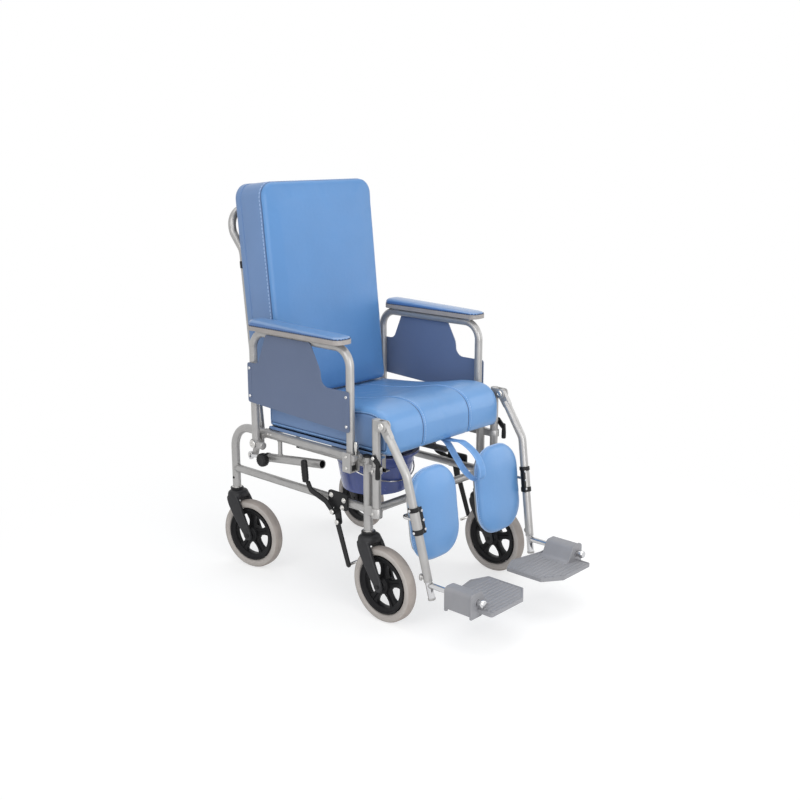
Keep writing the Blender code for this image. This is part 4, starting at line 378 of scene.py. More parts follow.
class Form:
    """Closed bodies gathered into one piece."""

    def __init__(self):
        self.points = []
        self.faces = []
        self.skins = []

    def add(self, points, faces, finish):
        base = len(self.points)
        self.points += [Vector(p) for p in points]
        self.faces += [tuple(base + k for k in face) for face in faces]
        self.skins += [finish] * len(faces)

    def rings(self, rings, finish, closed=False):
        size = len(rings[0])
        faces = []
        for k in range(len(rings) if closed else len(rings) - 1):
            low = k * size
            high = (k + 1) % len(rings) * size
            faces += [(low + j, low + (j + 1) % size, high + (j + 1) % size, high + j) for j in range(size)]
        if not closed:
            faces += [tuple(range(size))[::-1], tuple(range((len(rings) - 1) * size, len(rings) * size))]
        self.add([p for ring in rings for p in ring], faces, finish)

    def tube(self, path, radius, finish="silver", sides=32, ends=0.0, closed=False):
        """A tube along the path, with one radius or one for each point, and its ends rounded."""
        path = [Vector(p) for p in path]
        radii = list(radius) if isinstance(radius, list) else [radius] * len(path)
        if ends:
            tips = []
            for at, other, size in ((path[0], path[1], radii[0]), (path[-1], path[-2], radii[-1])):
                inwards = (other - at).normalized()
                arc = [math.pi / 2 * k / 4 for k in range(5)]
                tips.append([(at + inwards * ends * (1 - math.cos(t)), size - ends * (1 - math.sin(t))) for t in arc])
            path = [p for p, _ in tips[0]] + path[1:-1] + [p for p, _ in tips[1]][::-1]
            radii = [r for _, r in tips[0]] + radii[1:-1] + [r for _, r in tips[1]][::-1]
        across = along(path, closed)
        rings = [circle(point, a, b, size, sides) for point, size, (a, b) in zip(path, radii, across)]
        self.rings(rings, finish, closed)

    def pin(self, s, low, high, at, radius, finish="zinc", sides=20, ends=0.0):
        """A round bar across the chair, between two distances from its middle."""
        self.tube([(s * low, *at), (s * high, *at)], radius, finish, sides, ends)

    def lathe(self, profile, origin, axis, finish, segments=40, loop=False):
        """The profile's (radius, height) points turned about an axis."""
        axis = Vector(axis).normalized()
        a = axis.orthogonal().normalized()
        b = axis.cross(a)
        rings = [circle(Vector(origin) + axis * height, a, b, size, segments) for size, height in profile]
        self.rings(rings, finish, loop)

    def upright(self, profile, x, y, finish, segments=40, loop=False):
        self.lathe(profile, (x, y, 0), Z, finish, segments, loop)

    def slab(self, outline, place, low, high, finish):
        self.rings([[place(a, b, h) for a, b in outline] for h in (low, high)], finish)

    def plate(self, outline, s, low, high, finish="silver"):
        """An outline in the side view, between two distances from the chair's middle."""
        self.slab(outline, lambda a, b, h: (s * h, a, b), low, high, finish)

    def border(self, outer, inner, low, high, finish):
        """A flat body between two outlines."""
        edges = ((outer, low), (outer, high), (inner, high), (inner, low))
        self.rings([[(p[0], p[1], z) for p in edge] for edge, z in edges], finish, True)

    def block(self, first, last, finish):
        (a, c), (b, d), (low, high) = (sorted(pair) for pair in zip(first, last))
        self.slab([(a, b), (c, b), (c, d), (a, d)], flat, low, high, finish)

    def bolt(self, at, axis, size, finish="zinc", washer=True):
        """A hexagon head with its washer."""
        if washer:
            self.lathe([(size * 1.35, 0), (size * 1.35, size * 0.18), (size * 1.28, size * 0.24)], at, axis, finish, 28)
        self.lathe([(size, size * 0.2), (size, size * 0.72), (size * 0.84, size * 0.86)], at, axis, finish, 6)

    def screw(self, at, axis, size, finish="zinc"):
        """A domed head with a round socket."""
        rise = ((1.0, 0.0), (1.0, 0.25), (0.9, 0.45), (0.7, 0.6), (0.42, 0.66), (0.4, 0.3))
        self.lathe([(size * r, size * h) for r, h in rise], at, axis, finish, 24)

    def weld(self, at, main, main_radius, branch, radius, bead=0.0016):
        """The rippled bead where a branch tube, leaving the main tube's axis at this point, meets its surface."""
        main = Vector(main).normalized()
        branch = Vector(branch).normalized()
        a = branch.orthogonal().normalized()
        b = branch.cross(a)
        path, sizes = [], []
        for k, turn in enumerate(turns(48)):
            out = (a * math.cos(turn) + b * math.sin(turn)) * (radius + bead * 0.2)
            flat_out = out - main * out.dot(main)
            flat_branch = branch - main * branch.dot(main)
            square = flat_branch.length_squared
            middle = flat_out.dot(flat_branch) / square
            rest = (flat_out.length_squared - main_radius**2) / square
            reach = -middle + math.sqrt(max(0.0, middle**2 - rest))
            path.append(Vector(at) + out + branch * reach)
            sizes.append(bead * (1 + 0.22 * math.sin(k * 2.1)))
        self.tube(path, sizes, "weld", 10, closed=True)

    def stitches(self, path, finish="thread", pitch=0.0065, length=0.0042, size=0.0006, closed=True):
        path = evened(path, pitch / 4, closed)
        for k in range(0, len(path) - 3, 4):
            ahead = (path[k + 2] - path[k]).normalized()
            points = [path[k] + ahead * length * share for share in (0.0, 0.15, 0.85, 1.0)]
            self.tube(points, [size * 0.4, size, size, size * 0.4], finish, 6)

    def moved(self, matrix):
        other = Form()
        other.points = [matrix @ p for p in self.points]
        other.faces = list(self.faces)
        other.skins = list(self.skins)
        return other

    def join(self, other):
        base = len(self.points)
        self.points += other.points
        self.faces += [tuple(base + k for k in face) for face in other.faces]
        self.skins += other.skins

    def mesh(self, name, shift):
        mesh = bpy.data.meshes.new(name)
        mesh.from_pydata([(p.x, p.y + shift, p.z) for p in self.points], [], self.faces)
        bm = bmesh.new()
        bm.from_mesh(mesh)
        bmesh.ops.recalc_face_normals(bm, faces=bm.faces)
        bm.to_mesh(mesh)
        bm.free()
        return mesh

    def put(self, name, body, *nodes, slot, bevel=0.0005, sharp=38.0):
        """Makes the piece, lets it ride on the body, and lets it stand for the CAD nodes."""
        mesh = self.mesh(name, Y0)
        dress(mesh, self.skins)
        mesh.set_sharp_from_angle(angle=math.radians(sharp))
        obj = rider(name, mesh, body, nodes)
        if bevel:
            break_edges(obj, bevel, 40.0)
        return obj

    def put_side(self, side, name, body, node, slot, bevel=0.0005):
        self.put(f"{name}_{side}", f"{body}_{side}", f"{node}_{side}", slot=slot, bevel=bevel)


def reworked(form, voxel, passes):
    """The form's overlapping bodies as one smoothed mesh."""
    obj = placed("work", form.mesh("work", 0.0))
    remesh = obj.modifiers.new("remesh", "REMESH")
    remesh.mode = "VOXEL"
    remesh.voxel_size = voxel
    smooth = obj.modifiers.new("smooth", "SMOOTH")
    smooth.factor = 0.5
    smooth.iterations = passes
    return baked(obj)


def keep(name, finish, width=0.0008):
    """A CAD node whose shape is right, with its edges broken and a better finish."""
    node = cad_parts[name]
    weld = node.modifiers.new("weld", "WELD")
    weld.merge_threshold = 1e-5
    break_edges(node, width, 35.0)
    if not node.data.materials:
        node.data.materials.append(SKINS[finish])
    for slot in node.material_slots:
        slot.material = SKINS[finish]


# Padded pieces

def pad_form(half_a, half_b, corner, thickness, place, edge, crown, back_edge, low_corner=None):
    """A rounded slab whose face is crowned, drawn finely enough to remesh."""
    profile = [(back_edge, 0.0), (back_edge * 0.3, back_edge * 0.3), (0.0, back_edge), (0.0, thickness - edge)]
    for k in range(1, 7):
        turn = math.pi / 2 * k / 6
        profile.append((edge * (1 - math.cos(turn)), thickness - edge + edge * math.sin(turn)))
    for share in (0.12, 0.3, 0.5, 0.7, 0.88):
        profile.append((edge + (min(half_a, half_b) - edge) * share, thickness + crown * (1 - (1 - share) ** 2)))
    rings = []
    for by, depth in profile:
        a, b = half_a - by, half_b - by
        radius = min(max(0.0015, corner - by), a * 0.98, b * 0.98)
        foot = radius if low_corner is None else max(0.0015, low_corner - by)
        outline = oblong((-a, -b), (a, b), (foot, radius, radius, foot), 10)
        rings.append([place(u, v, depth) for u, v in outline])
    form = Form()
    form.rings(rings, "vinyl")
    return form


def swollen(form, voxel, cap, shares, held):
    """The form blown up as cloth, held close to its foam, and subdivided once.

    The cap is the most that a point may move. The shares of that move are kept along x, y and z, and where the
    point is held, nothing is kept along the axis with the largest share.
    """
    mesh = reworked(form, voxel, 2)
    obj = placed("cloth", mesh)
    rest = np.empty(len(mesh.vertices) * 3)
    mesh.vertices.foreach_get("co", rest)
    rest = rest.reshape(-1, 3)
    cloth = obj.modifiers.new("Cloth", "CLOTH")
    cloth.settings.quality = CLOTH_QUALITY
    cloth.settings.mass = CLOTH_MASS
    cloth.settings.use_pressure = True
    cloth.settings.uniform_pressure_force = CLOTH_PRESSURE
    cloth.settings.effector_weights.gravity = 0.0
    cloth.point_cache.frame_start = 1
    cloth.point_cache.frame_end = CLOTH_FRAMES
    for step in range(1, CLOTH_FRAMES + 1):
        SCENE.frame_set(step)
    blown = obj.evaluated_get(bpy.context.evaluated_depsgraph_get()).to_mesh()
    moved = np.empty(rest.size)
    blown.vertices.foreach_get("co", moved)
    move = moved.reshape(-1, 3) - rest
    obj.modifiers.remove(cloth)
    SCENE.frame_set(1)
    far = np.maximum(np.linalg.norm(move, axis=1), 1e-9)
    move *= np.minimum(1.0, cap / far)[:, None]
    move *= shares
    move[held(rest), np.argmax(shares)] = 0.0
    mesh.vertices.foreach_set("co", (rest + move).ravel())
    mesh.update()
    finer = obj.modifiers.new("finer", "SUBSURF")
    finer.levels = 1
    finer.render_levels = 1
    return Skin(baked(obj))


class Skin:
    """A padded piece's skin, with its seams pressed in."""

    def __init__(self, mesh):
        self.mesh = mesh
        self.refresh()

    def refresh(self):
        self.mesh.update()
        points = [v.co.copy() for v in self.mesh.vertices]
        self.tree = BVHTree.FromPolygons(points, [tuple(p.vertices) for p in self.mesh.polygons])

    def laid(self, path, across, lift=0.0, closed=True, inwards=None):
        """The path moved on to the skin, within its own plane unless a way inwards is given, evened out and lifted."""
        middle = sum(path, Vector()) / len(path)
        spots = []
        for k, point in enumerate(path):
            way = heading(path, k, closed).cross(across).normalized()
            way = way if way.dot(middle - point) > 0 else -way
            way = inwards or way
            spot = self.tree.ray_cast(point - way * SEARCH_START, way, SEARCH_REACH)[0]
            spots.append((spot or point) - way * lift)
        for _ in range(3):
            last = len(spots) - 1
            drawn = []
            for k, spot in enumerate(spots):
                inside = closed or 0 < k < last
                drawn.append((spots[k - 1] + 2 * spot + spots[(k + 1) % len(spots)]) / 4 if inside else spot)
            spots = drawn
        return spots

    def press(self, path, width, depth):
        tree = KDTree(len(path))
        for k, point in enumerate(path):
            tree.insert(point, k)
        tree.balance()
        normals = [n.vector.copy() for n in self.mesh.vertex_normals]
        for vertex, normal in zip(self.mesh.vertices, normals):
            _, _, far = tree.find(vertex.co)
            if far < 3.0 * width:
                vertex.co -= normal * depth * math.exp(-((far / width) ** 2))
        self.refresh()

    def split(self, places, normal):
        """Adds edges where planes cut the skin."""
        bm = bmesh.new()
        bm.from_mesh(self.mesh)
        for at in places:
            everything = bm.verts[:] + bm.edges[:] + bm.faces[:]
            bmesh.ops.bisect_plane(bm, geom=everything, plane_co=at, plane_no=normal, dist=1e-5)
        bm.to_mesh(self.mesh)
        bm.free()
        self.refresh()

    def put(self, name, body, node, matrix, parts, fill=0.8):
        """Makes a moved copy the piece. The parts give a face's finish from its centre and normal."""
        mesh = self.mesh.copy()
        mesh.name = name
        mesh.materials.clear()
        dress(mesh, [parts(face.center, face.normal) for face in mesh.polygons])
        mesh.transform(Matrix.Translation((0, Y0, 0)) @ matrix)
        rider(name, mesh, body, [node])


def back_hem(half, top, corner):
    """The hem of the cushion's side strip round the posts, open at the bottom and drawn in towards its two ends."""
    section = [(-0.003, -0.024), (0.0001, -0.0235), (0.0008, -0.02), (0.001, -0.012), (0.001, -0.0058)]
    section += [(0.0004, -0.0046), (-0.0001, -0.0058), (-0.0002, -0.013), (-0.003, -0.013)]
    foot, fold, fade = 0.19, -0.0135, 6
    corners = [(half, 0, foot), (half, 0, top), (-half, 0, top), (-half, 0, foot)]
    path = evened(bent(corners, corner), 0.005)
    last = len(path) - 1
    rings = []
    for k, p in enumerate(path):
        ahead = heading(path, k).normalized()
        outwards = Vector((ahead.z, 0, -ahead.x))
        share = math.sin(math.pi / 2 * min(1.0, (k + 0.02) / fade, (last - k + 0.02) / fade))
        ring = []
        for out, y in section:
            depth = y if y < fold else fold + (y - fold) * share
            ring.append(p + outwards * out * (0.3 + 0.7 * share) + Y * depth)
        rings.append(ring)
    return rings


def back_cushion():
    back, middle, deep, front_half, rear_half, tall = -0.0116, 0.3985, 0.0985, 0.2085, 0.2158, 0.297
    corner, low_corner, flared = 0.042, 0.018, deep - 0.014

    def place(a, b, d):
        return (a * (1 + (rear_half / front_half - 1) * max(0.0, 1 - d / flared)), back - d, middle + b)

    form = pad_form(
        front_half, tall, corner, deep, place, edge=0.013, crown=0.004, back_edge=0.003, low_corner=low_corner
    )
    pad = swollen(form, voxel=0.005, cap=0.022, shares=(0.04, 0.16, 0.04), held=lambda rest: rest[:, 1] > back - 0.012)
    level = back - deep + 0.012
    seam = [Vector((p.x, level, middle + p.y)) for p in ring_path(front_half, tall, corner, low_corner)]
    pad.split([(0, level + step, 0) for step in (-0.0025, 0.0, 0.0025)], Y)
    pad.press(pad.laid(seam, Y), width=0.0026, depth=0.0022)
    trim = Form()
    # The dark thread along the pressed seam is painted shade of the groove.
    trim.tube(pad.laid(seam, Y, 0.0002), 0.001, "thread_seam_shade", 8, closed=True)
    row = [p + Y * 0.0042 for p in seam]
    trim.stitches(pad.laid(row, Y, 0.0003), pitch=0.0105, length=0.007, size=0.0008)
    # The hem takes the darker, greyer side vinyl: painted shade and sheen.
    trim.rings(back_hem(rear_half - 0.0002, middle + tall, corner), "boxing_shaded")

    # Faces behind the seam take the greyer side vinyl: painted shade and sheen.
    def parts(centre, normal):
        # The front face takes the darker backrest vinyl: painted shade.
        return "boxing_shaded" if centre.y > level else "back_vinyl_shaded"

    pad.put("back_cushion_cover", "backrest", "back_cushion", LEAN, parts)
    trim.moved(LEAN).put("back_cushion_trim", "backrest", slot="blue_vinyl", bevel=0)


def seat_outline():
    """The seat's side view, from the rear foot over the hollow and the front roll to the front foot."""
    knots = [(0.384, 0.0008), (0.391, 0.006), (0.3918, 0.058), (0.389, 0.0665), (0.38, 0.0705), (0.3, 0.0755)]
    knots += [(0.22, 0.0825), (0.15, 0.0925), (0.095, 0.1035), (0.045, 0.1135), (0.002, 0.1165), (-0.03, 0.1115)]
    knots += [(-0.055, 0.0955), (-0.0685, 0.07), (-0.071, 0.04), (-0.0695, 0.015), (-0.062, 0.003), (-0.05, 0.0008)]
    path = spline([Vector((0, y, SEAT_Z + h)) for y, h in knots], 6)
    return evened([Vector((0, p.y, max(SEAT_Z + 0.0006, p.z))) for p in path], 0.006, True)


def inset(outline, by):
    """The seat's side view drawn in, but not below its foot."""
    middle = Vector((0, 0.16, SEAT_Z + 0.045))
    drawn = []
    for k, p in enumerate(outline):
        ahead = heading(outline, k, True).normalized()
        inwards = Vector((0, ahead.z, -ahead.y))
        if inwards.dot(middle - p) < 0:
            inwards = -inwards
        moved = p + inwards * by
        drawn.append(Vector((0, moved.y, max(SEAT_Z + 0.0006, moved.z))))
    return drawn


def opened(loop, x, over):
    """The loop at this x without its underside, started at its rear foot."""
    kept = [p for p in loop if p.z > SEAT_Z + over]
    start = max(range(len(kept)), key=lambda k: kept[k].y - kept[k].z)
    return [Vector((x, p.y, p.z)) for p in evened(kept[start:] + kept[:start], 0.004)]


def seat_form(outline, edge):
    stations = [(0.0, 0.0), (0.06, 0.0), (0.12, 0.0), (0.17, 0.0)]
    for k in range(8):
        turn = math.pi / 2 * k / 7
        stations.append((SEAT_HALF - edge + edge * math.sin(turn), edge * (1 - math.cos(turn))))
    stations = [(-x, by) for x, by in stations[:0:-1]] + stations
    rings = []
    for x, by in stations:
        crown = 0.002 * (1 - (x / SEAT_HALF) ** 2)
        ring = []
        for p in inset(outline, by):
            crowned = p.y < 0.32 and p.z > SEAT_Z + 0.03
            ring.append((x, p.y, p.z + crown * crowned))
        rings.append(ring)
    form = Form()
    form.rings(rings, "vinyl")
    return form


def seat_cushion():
    edge = 0.018
    seam_x, seam_steps = (-0.093, 0.093), (-0.008, -0.005, -0.0025, 0.0, 0.0025, 0.005, 0.008)
    sewn = {"pitch": 0.007, "length": 0.0052, "size": 0.0006, "closed": False}
    outline = seat_outline()
    border = inset(outline, 0.015)

    def held(rest):
        return (rest[:, 2] < SEAT_Z + 0.006) | (rest[:, 1] > 0.33)

    pad = swollen(seat_form(outline, edge), voxel=0.005, cap=0.022, shares=(0.0, 0.1, 0.16), held=held)
    pad.split([(x + step, 0, 0) for x in seam_x for step in seam_steps], X)
    trim = Form()
    for x in seam_x:
        path = opened(outline, x, 0.005)
        pad.press(pad.laid(path, X, closed=False), width=0.005, depth=0.0055)
        # The dark thread in the channel is painted shade of the groove.
        trim.tube(pad.laid(path, X, 0.0002, False), 0.0012, "thread_seam_shade", 8)
        beside = [p + X * 0.006 for p in path]
        trim.stitches(pad.laid(beside, X, 0.0003, False), **sewn)
    skirt = [(0.2238, 0.4318), (0.225, 0.4312), (0.2257, 0.4318), (0.2257, 0.4388), (0.2252, 0.4398), (0.2238, 0.4402)]
    skirt_top = 0.4395
    skirt_run = ((-0.054, 0.35), (-0.048, 0.75), (-0.038, 1.0), (0.12, 1.0), (0.26, 1.0), (0.376, 1.0), (0.384, 0.7))
    for s in (-1, 1):
        inwards = Vector((-s, 0, 0))
        path = opened(border, s * SEAT_HALF, 0.008)
        pad.press(pad.laid(path, X, closed=False, inwards=inwards), width=0.003, depth=0.0022)
        # The dark thread along the side seam is painted shade of its groove.
        trim.tube(pad.laid(path, X, 0.0002, False, inwards), 0.001, "thread_seam_shade", 8)
        above = opened(inset(outline, 0.0112), s * SEAT_HALF, 0.01)
        trim.stitches(pad.laid(above, X, 0.0003, False, inwards), **sewn)
        rings = []
        for y, share in skirt_run:
            rings.append([(s * x, y, skirt_top + (z - skirt_top) * share) for x, z in skirt])
        # The skirt takes the darker, greyer side vinyl: painted shade and sheen.
        trim.rings(rings, "boxing_shaded")

    def parts(centre, normal):
        """The sides within the border, and the foot, take the darker, greyer side vinyl, as painted shade and sheen."""
        if abs(centre.x) < SEAT_HALF - edge:
            return "vinyl"
        inside = False
        for k, p in enumerate(border):
            q = border[k - 1]
            if (p.z > centre.z) != (q.z > centre.z):
                if centre.y < p.y + (q.y - p.y) * (centre.z - p.z) / (q.z - p.z):
                    inside = not inside
        return "boxing_shaded" if inside or centre.z < SEAT_Z + 0.01 else "vinyl"

    pad.put("seat_cushion_cover", "seat", "seat_cushion", Matrix(), parts)
    trim.put("seat_cushion_trim", "seat", slot="blue_vinyl", bevel=0)


def calf_pads():
    back, middle, wide, tall, corner = -0.1275, 0.2865, 0.088, 0.1186, 0.07

    def place(a, b, d):
        return (a, back - d, middle + b)

    form = pad_form(wide, tall, corner, 0.021, place, edge=0.014, crown=0.007, back_edge=0.004)
    pad = swollen(form, voxel=0.004, cap=0.008, shares=(0.03, 0.25, 0.03), held=lambda rest: rest[:, 1] > back - 0.008)
    rim = [Vector((p.x, back - 0.0055, middle + p.y)) for p in ring_path(wide, tall, corner)]
    pad.press(pad.laid(rim, Y), width=0.003, depth=0.001)
    trim = Form()
    # The piping is lighter than the pad, as a painted highlight along its edge.
    trim.tube(pad.laid(rim, Y, 0.0008), 0.0023, "piping_highlight", 10, closed=True)
    row = [p - Y * 0.0055 for p in rim]
    trim.stitches(pad.laid(row, Y, 0.0003))
    x, y, z = CALF_AXIS
    for side, s in SIDES:
        turn = Matrix.Rotation(CALF_LEAN, 4, "X") @ Matrix.Translation((0, -y, -z))
        here = Matrix.Translation((s * x, y, z)) @ turn
        body = f"calf_rest_{side}"
        pad.put(f"calf_pad_cover_{side}", body, f"calf_pad_{side}", here, lambda centre, normal: "vinyl", 0.9)
        trim.moved(here).put(f"calf_pad_trim_{side}", body, slot="blue_vinyl", bevel=0)


def arm_pads():
    foot, middle, wide, long, corner = 0.73, 0.2125, 0.0295, 0.176, 0.022
    crest = 0.66

    def arch(b):
        """The pad's height along its length, falling to a thin tip in front and a little behind."""
        share = (b + long) / (2 * long)
        front, rear = max(0.0, 1 - share / crest), max(0.0, (share - crest) / (1 - crest))
        return 1 - 0.68 * front**1.6 - 0.14 * rear**2

    def place(a, b, d):
        return (a, middle + b, foot + d * arch(b))

    form = pad_form(wide, long, corner, 0.019, place, edge=0.013, crown=0.0015, back_edge=0.002)
    pad = swollen(form, voxel=0.0035, cap=0.006, shares=(0.05, 0.05, 0.15), held=lambda rest: rest[:, 2] < foot + 0.003)
    trim = Form()
    row = [Vector((p.x, middle + p.y, foot + 0.0024)) for p in ring_path(wide, long, corner)]
    # Dark thread marks along the pad's lower edge, darkened as painted shade under the cover.
    trim.stitches(pad.laid(row, Z, 0.0004), "thread_seam_shade", 0.0088, 0.005, 0.0015)
    tray = Form()
    tray_half, tray_long = wide + 0.0002, long + 0.0003
    outline = oblong((-tray_half, middle - tray_long), (tray_half, middle + tray_long), 0.021)
    tray.slab(outline, flat, 0.7184, 0.7303, "tray")
    for y in (0.09, middle, 0.335):
        tray.screw((0, y, 0.7186), -Z, 0.0045)

    def parts(centre, normal):
        # Faces not turned up take the darker side vinyl, as painted shade; faces turned up take the greyed top vinyl,
        # as a painted sheen.
        return "arm_side_shaded" if normal.z < 0.5 else "arm_top_sheen"

    for side, s in SIDES:
        here = Matrix.Translation((s * ARM_PAD_X, 0, 0))
        body = f"armrest_{side}"
        pad.put(f"armrest_pad_cover_{side}", body, f"armrest_pad_{side}", here, parts, 0.9)
        trim.moved(here).put(f"armrest_pad_seam_{side}", body, slot="blue_vinyl", bevel=0)
        tray.moved(here).put(f"armrest_pad_tray_{side}", body, slot="panel_plastic", bevel=0.001)


# Wheels and forks

def tyre_form():
    """The tyre about X, with two fine grooves beside its tread."""
    groove_steps = {7: -0.0003, 8: 0.0004, 14: 0.0004, 15: -0.0003}
    profile = []
    for k, turn in enumerate(turns(44)):
        radius = 0.0885 + 0.0115 * powered(math.sin(turn), 0.78) + groove_steps.get(k, 0.0)
        profile.append((radius, 0.017 * powered(math.cos(turn), 0.78)))
    tyre = Form()
    tyre.lathe(profile, (0, 0, 0), X, "tyre", 128, True)
    for k, face in enumerate(tyre.faces):
        out = sum(math.hypot(tyre.points[n].y, tyre.points[n].z) for n in face) / len(face)
        if out > 0.096:
            tyre.skins[k] = "tread"
    return tyre


def rim_form():
    """The rim about X, with its hub and five ribbed spokes."""
    rim = Form()
    half = [(0.0767, 0.0), (0.0767, 0.0142), (0.0744, 0.015), (0.0722, 0.0146), (0.07, 0.0118), (0.064, 0.0104)]
    half += [(0.0612, 0.0096), (0.0604, 0.008)]
    rim.lathe(half + [(r, -h) for r, h in half[:0:-1]], (0, 0, 0), X, "rim", 96, True)
    hub = [(0.0085, 0.02), (0.0165, 0.02), (0.0175, 0.019), (0.0182, 0.016), (0.022, 0.014), (0.023, 0.0115)]
    rim.lathe(hub + [(r, -h) for r, h in hub[::-1]], (0, 0, 0), X, "rim", 56, True)
    spoke = Form()
    rings = []
    for up, wide, thick in ((0.016, 0.014, 0.0078), (0.022, 0.0118, 0.007), (0.032, 0.0098, 0.0062),
                            (0.044, 0.0098, 0.006), (0.053, 0.0122, 0.0064), (0.062, 0.0185, 0.0072)):
        rings.append([(a, b, up) for a, b in oblong((-thick, -wide), (thick, wide), 0.002, 4)])
    spoke.rings(rings, "rim")
    for x in (-1, 1):
        rib = [(x * 0.0045, -0.0014), (x * 0.0045, 0.0014), (x * 0.0102, 0.0009), (x * 0.0102, -0.0009)]
        spoke.slab(rib, flat, 0.019, 0.064, "rim")
    for turn in turns(5):
        rim.join(spoke.moved(Matrix.Rotation(turn, 4, "X")))
    return rim


def fork_blades(blank):
    top = Vector((0, -0.002, 0.204))
    up = (top - AXLE).normalized()
    wide = Vector((0, up.z, -up.y))
    length = (top - AXLE).length
    stations = [(-0.015, 0.004), (-0.0125, 0.0088), (-0.008, 0.012), (0.0, 0.0136), (0.02, 0.015), (0.045, 0.0166)]
    stations += [(0.068, 0.0184), (0.088, 0.0202), (0.104, 0.021), (length, 0.02), (length + 0.01, 0.016)]
    lip = [(0.0128, 0.0215), (0.0128, 0.0298), (0.0112, 0.0304), (0.0086, 0.0298), (0.008, 0.027), (0.004, 0.027)]
    for x in (-1, 1):
        rings = []
        for reach, half in stations:
            share = min(1.0, max(0.0, reach) / length)
            swell = max(0.0, math.sin(math.pi * min(1.0, share / 1.15))) ** 1.2
            inner = 0.0208 - 0.0014 * share
            outer = 0.029 + 0.0038 * swell
            outline = oblong((inner, -half), (outer, half), (0.0055, 0.0055, 0.0016, 0.0016), 5)
            rings.append([AXLE + up * reach + wide * b + X * x * a for a, b in outline])
        blank.rings(rings, "fork")
        blank.lathe([(r, x * h) for r, h in lip], AXLE, X, "fork")


def fork_forms():
    """The moulded fork about its stem, wheel ahead, and the fittings on it."""
    blank = Form()
    fork_blades(blank)
    rings = []
    for k in range(15):
        turn = math.pi * (k + 0.5) / 15
        size = math.sin(turn) ** 0.5
        level = 0.211 - 0.015 * powered(math.cos(turn), 0.8)
        ring = []
        for t in turns(44):
            a, b = 0.0312 * powered(math.cos(t), 0.78) * size, 0.0245 * powered(math.sin(t), 0.78) * size
            ring.append((a, b - 0.003, level))
        rings.append(ring)
    blank.rings(rings, "fork")
    neck = [(0.02, 0.206), (0.019, 0.216), (0.0168, 0.2215), (0.0162, 0.2282), (0.013, 0.2282)]
    blank.upright(neck, 0, 0, "fork", 48)
    mesh = reworked(blank, 0.0016, 6)
    fork = Form()
    fork.add([v.co.copy() for v in mesh.vertices], [tuple(p.vertices) for p in mesh.polygons], "fork")
    fittings = Form()
    race = [(0.015, 0.225), (0.0186, 0.2256), (0.019, 0.23), (0.0178, 0.2318), (0.0128, 0.2322), (0.0128, 0.229)]
    fittings.upright(race, 0, 0, "black", 56)
    fittings.upright([(0.015, 0.231), (0.015, 0.2336), (0.0124, 0.2344), (0.0124, 0.231)], 0, 0, "zinc", 48)
    fittings.pin(1, -0.0276, 0.0276, AXLE.yz, 0.005, sides=24)
    for x in (-1, 1):
        fittings.bolt(AXLE + X * x * 0.0268, X * x, 0.0056, "black")
    return fork, fittings


def wheels():
    tyre, rim = tyre_form(), rim_form()
    fork, fittings = fork_forms()
    for side, s in SIDES:
        for end, stem_y in (("front", 0.0), ("rear", WHEELBASE)):
            low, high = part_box(f"{end}_rim_{side}")
            centre = (low + high) / 2
            stem = Vector((s * FRAME_X, stem_y, 0))
            turn = math.atan2(centre.x - stem.x, stem_y + Y0 - centre.y)
            around = Matrix.Translation(stem) @ Matrix.Rotation(turn, 4, "Z")
            wheel = around @ Matrix.Translation(AXLE)
            body = f"{end}_wheel_{side}"
            tyre.moved(wheel).put(f"{end}_wheel_tread_{side}", body, f"{end}_tyre_{side}", slot="tyre_grey", bevel=0)
            name = f"{end}_wheel_rim_{side}"
            rim.moved(wheel).put(name, body, f"{end}_rim_{side}", slot="black_plastic", bevel=0.0004)
            holder = "frame" if end == "front" else f"rear_castor_{side}"
            name = f"{end}_fork_shell_{side}"
            fork.moved(around).put(name, holder, f"{end}_fork_{side}", slot="fork_plastic", bevel=0, sharp=60.0)
            fittings.moved(around).put(f"{end}_fork_fittings_{side}", holder, slot="bright_steel", bevel=0.0003)


# Frame

def frames():
    for side, s in SIDES:
        x = s * FRAME_X
        f = Form()
        f.tube(bent([(x, WHEELBASE, FOOT_Z), (x, WHEELBASE, RAIL_Z), (x, 0, RAIL_Z)], 0.065, 20), MAIN_R)
        top = RAIL_Z + MAIN_R
        f.tube([(x, 0, FOOT_Z), (x, 0, top)], MAIN_R)
        f.lathe([(0.0128, 0), (0.0128, 0.003), (0.011, 0.0052), (0.006, 0.0062)], (x, 0, top), Z, "black")
        f.tube([(x, WHEELBASE, LOWER_Z), (x, 0, LOWER_Z)], TUBE_R)
        for at, main, branch, radius in (
            ((x, 0, LOWER_Z), Z, Y, TUBE_R),
            ((x, WHEELBASE, LOWER_Z), Z, -Y, TUBE_R),
            ((x, 0, RAIL_Z), Z, Y, MAIN_R),
            ((x, 0, FRONT_CROSS_Z), Z, X * -s, TUBE_R),
            ((x, REAR_CROSS_Y, RAIL_Z), Y, X * -s, TUBE_R),
        ):
            f.weld(at, main, MAIN_R, branch, radius)
        f.screw((x + s * MAIN_R, WHEELBASE - 0.001, 0.262), X * s, 0.0034, "black")
        leg_collars(f, s)
        hinge_lugs(f, s)
        arm_cradle(f, s)
        guide(f, s)
        f.put(f"side_frame_tubes_{side}", "frame", f"side_frame_{side}", slot="silver_paint")
    for end, y, z in (("front", 0, FRONT_CROSS_Z), ("rear", REAR_CROSS_Y, RAIL_Z)):
        f = Form()
        f.pin(1, -CROSS_HALF, CROSS_HALF, (y, z), TUBE_R, "silver", 32)
        f.put(f"{end}_cross_bar", "frame", f"{end}_cross_tube", slot="silver_paint")


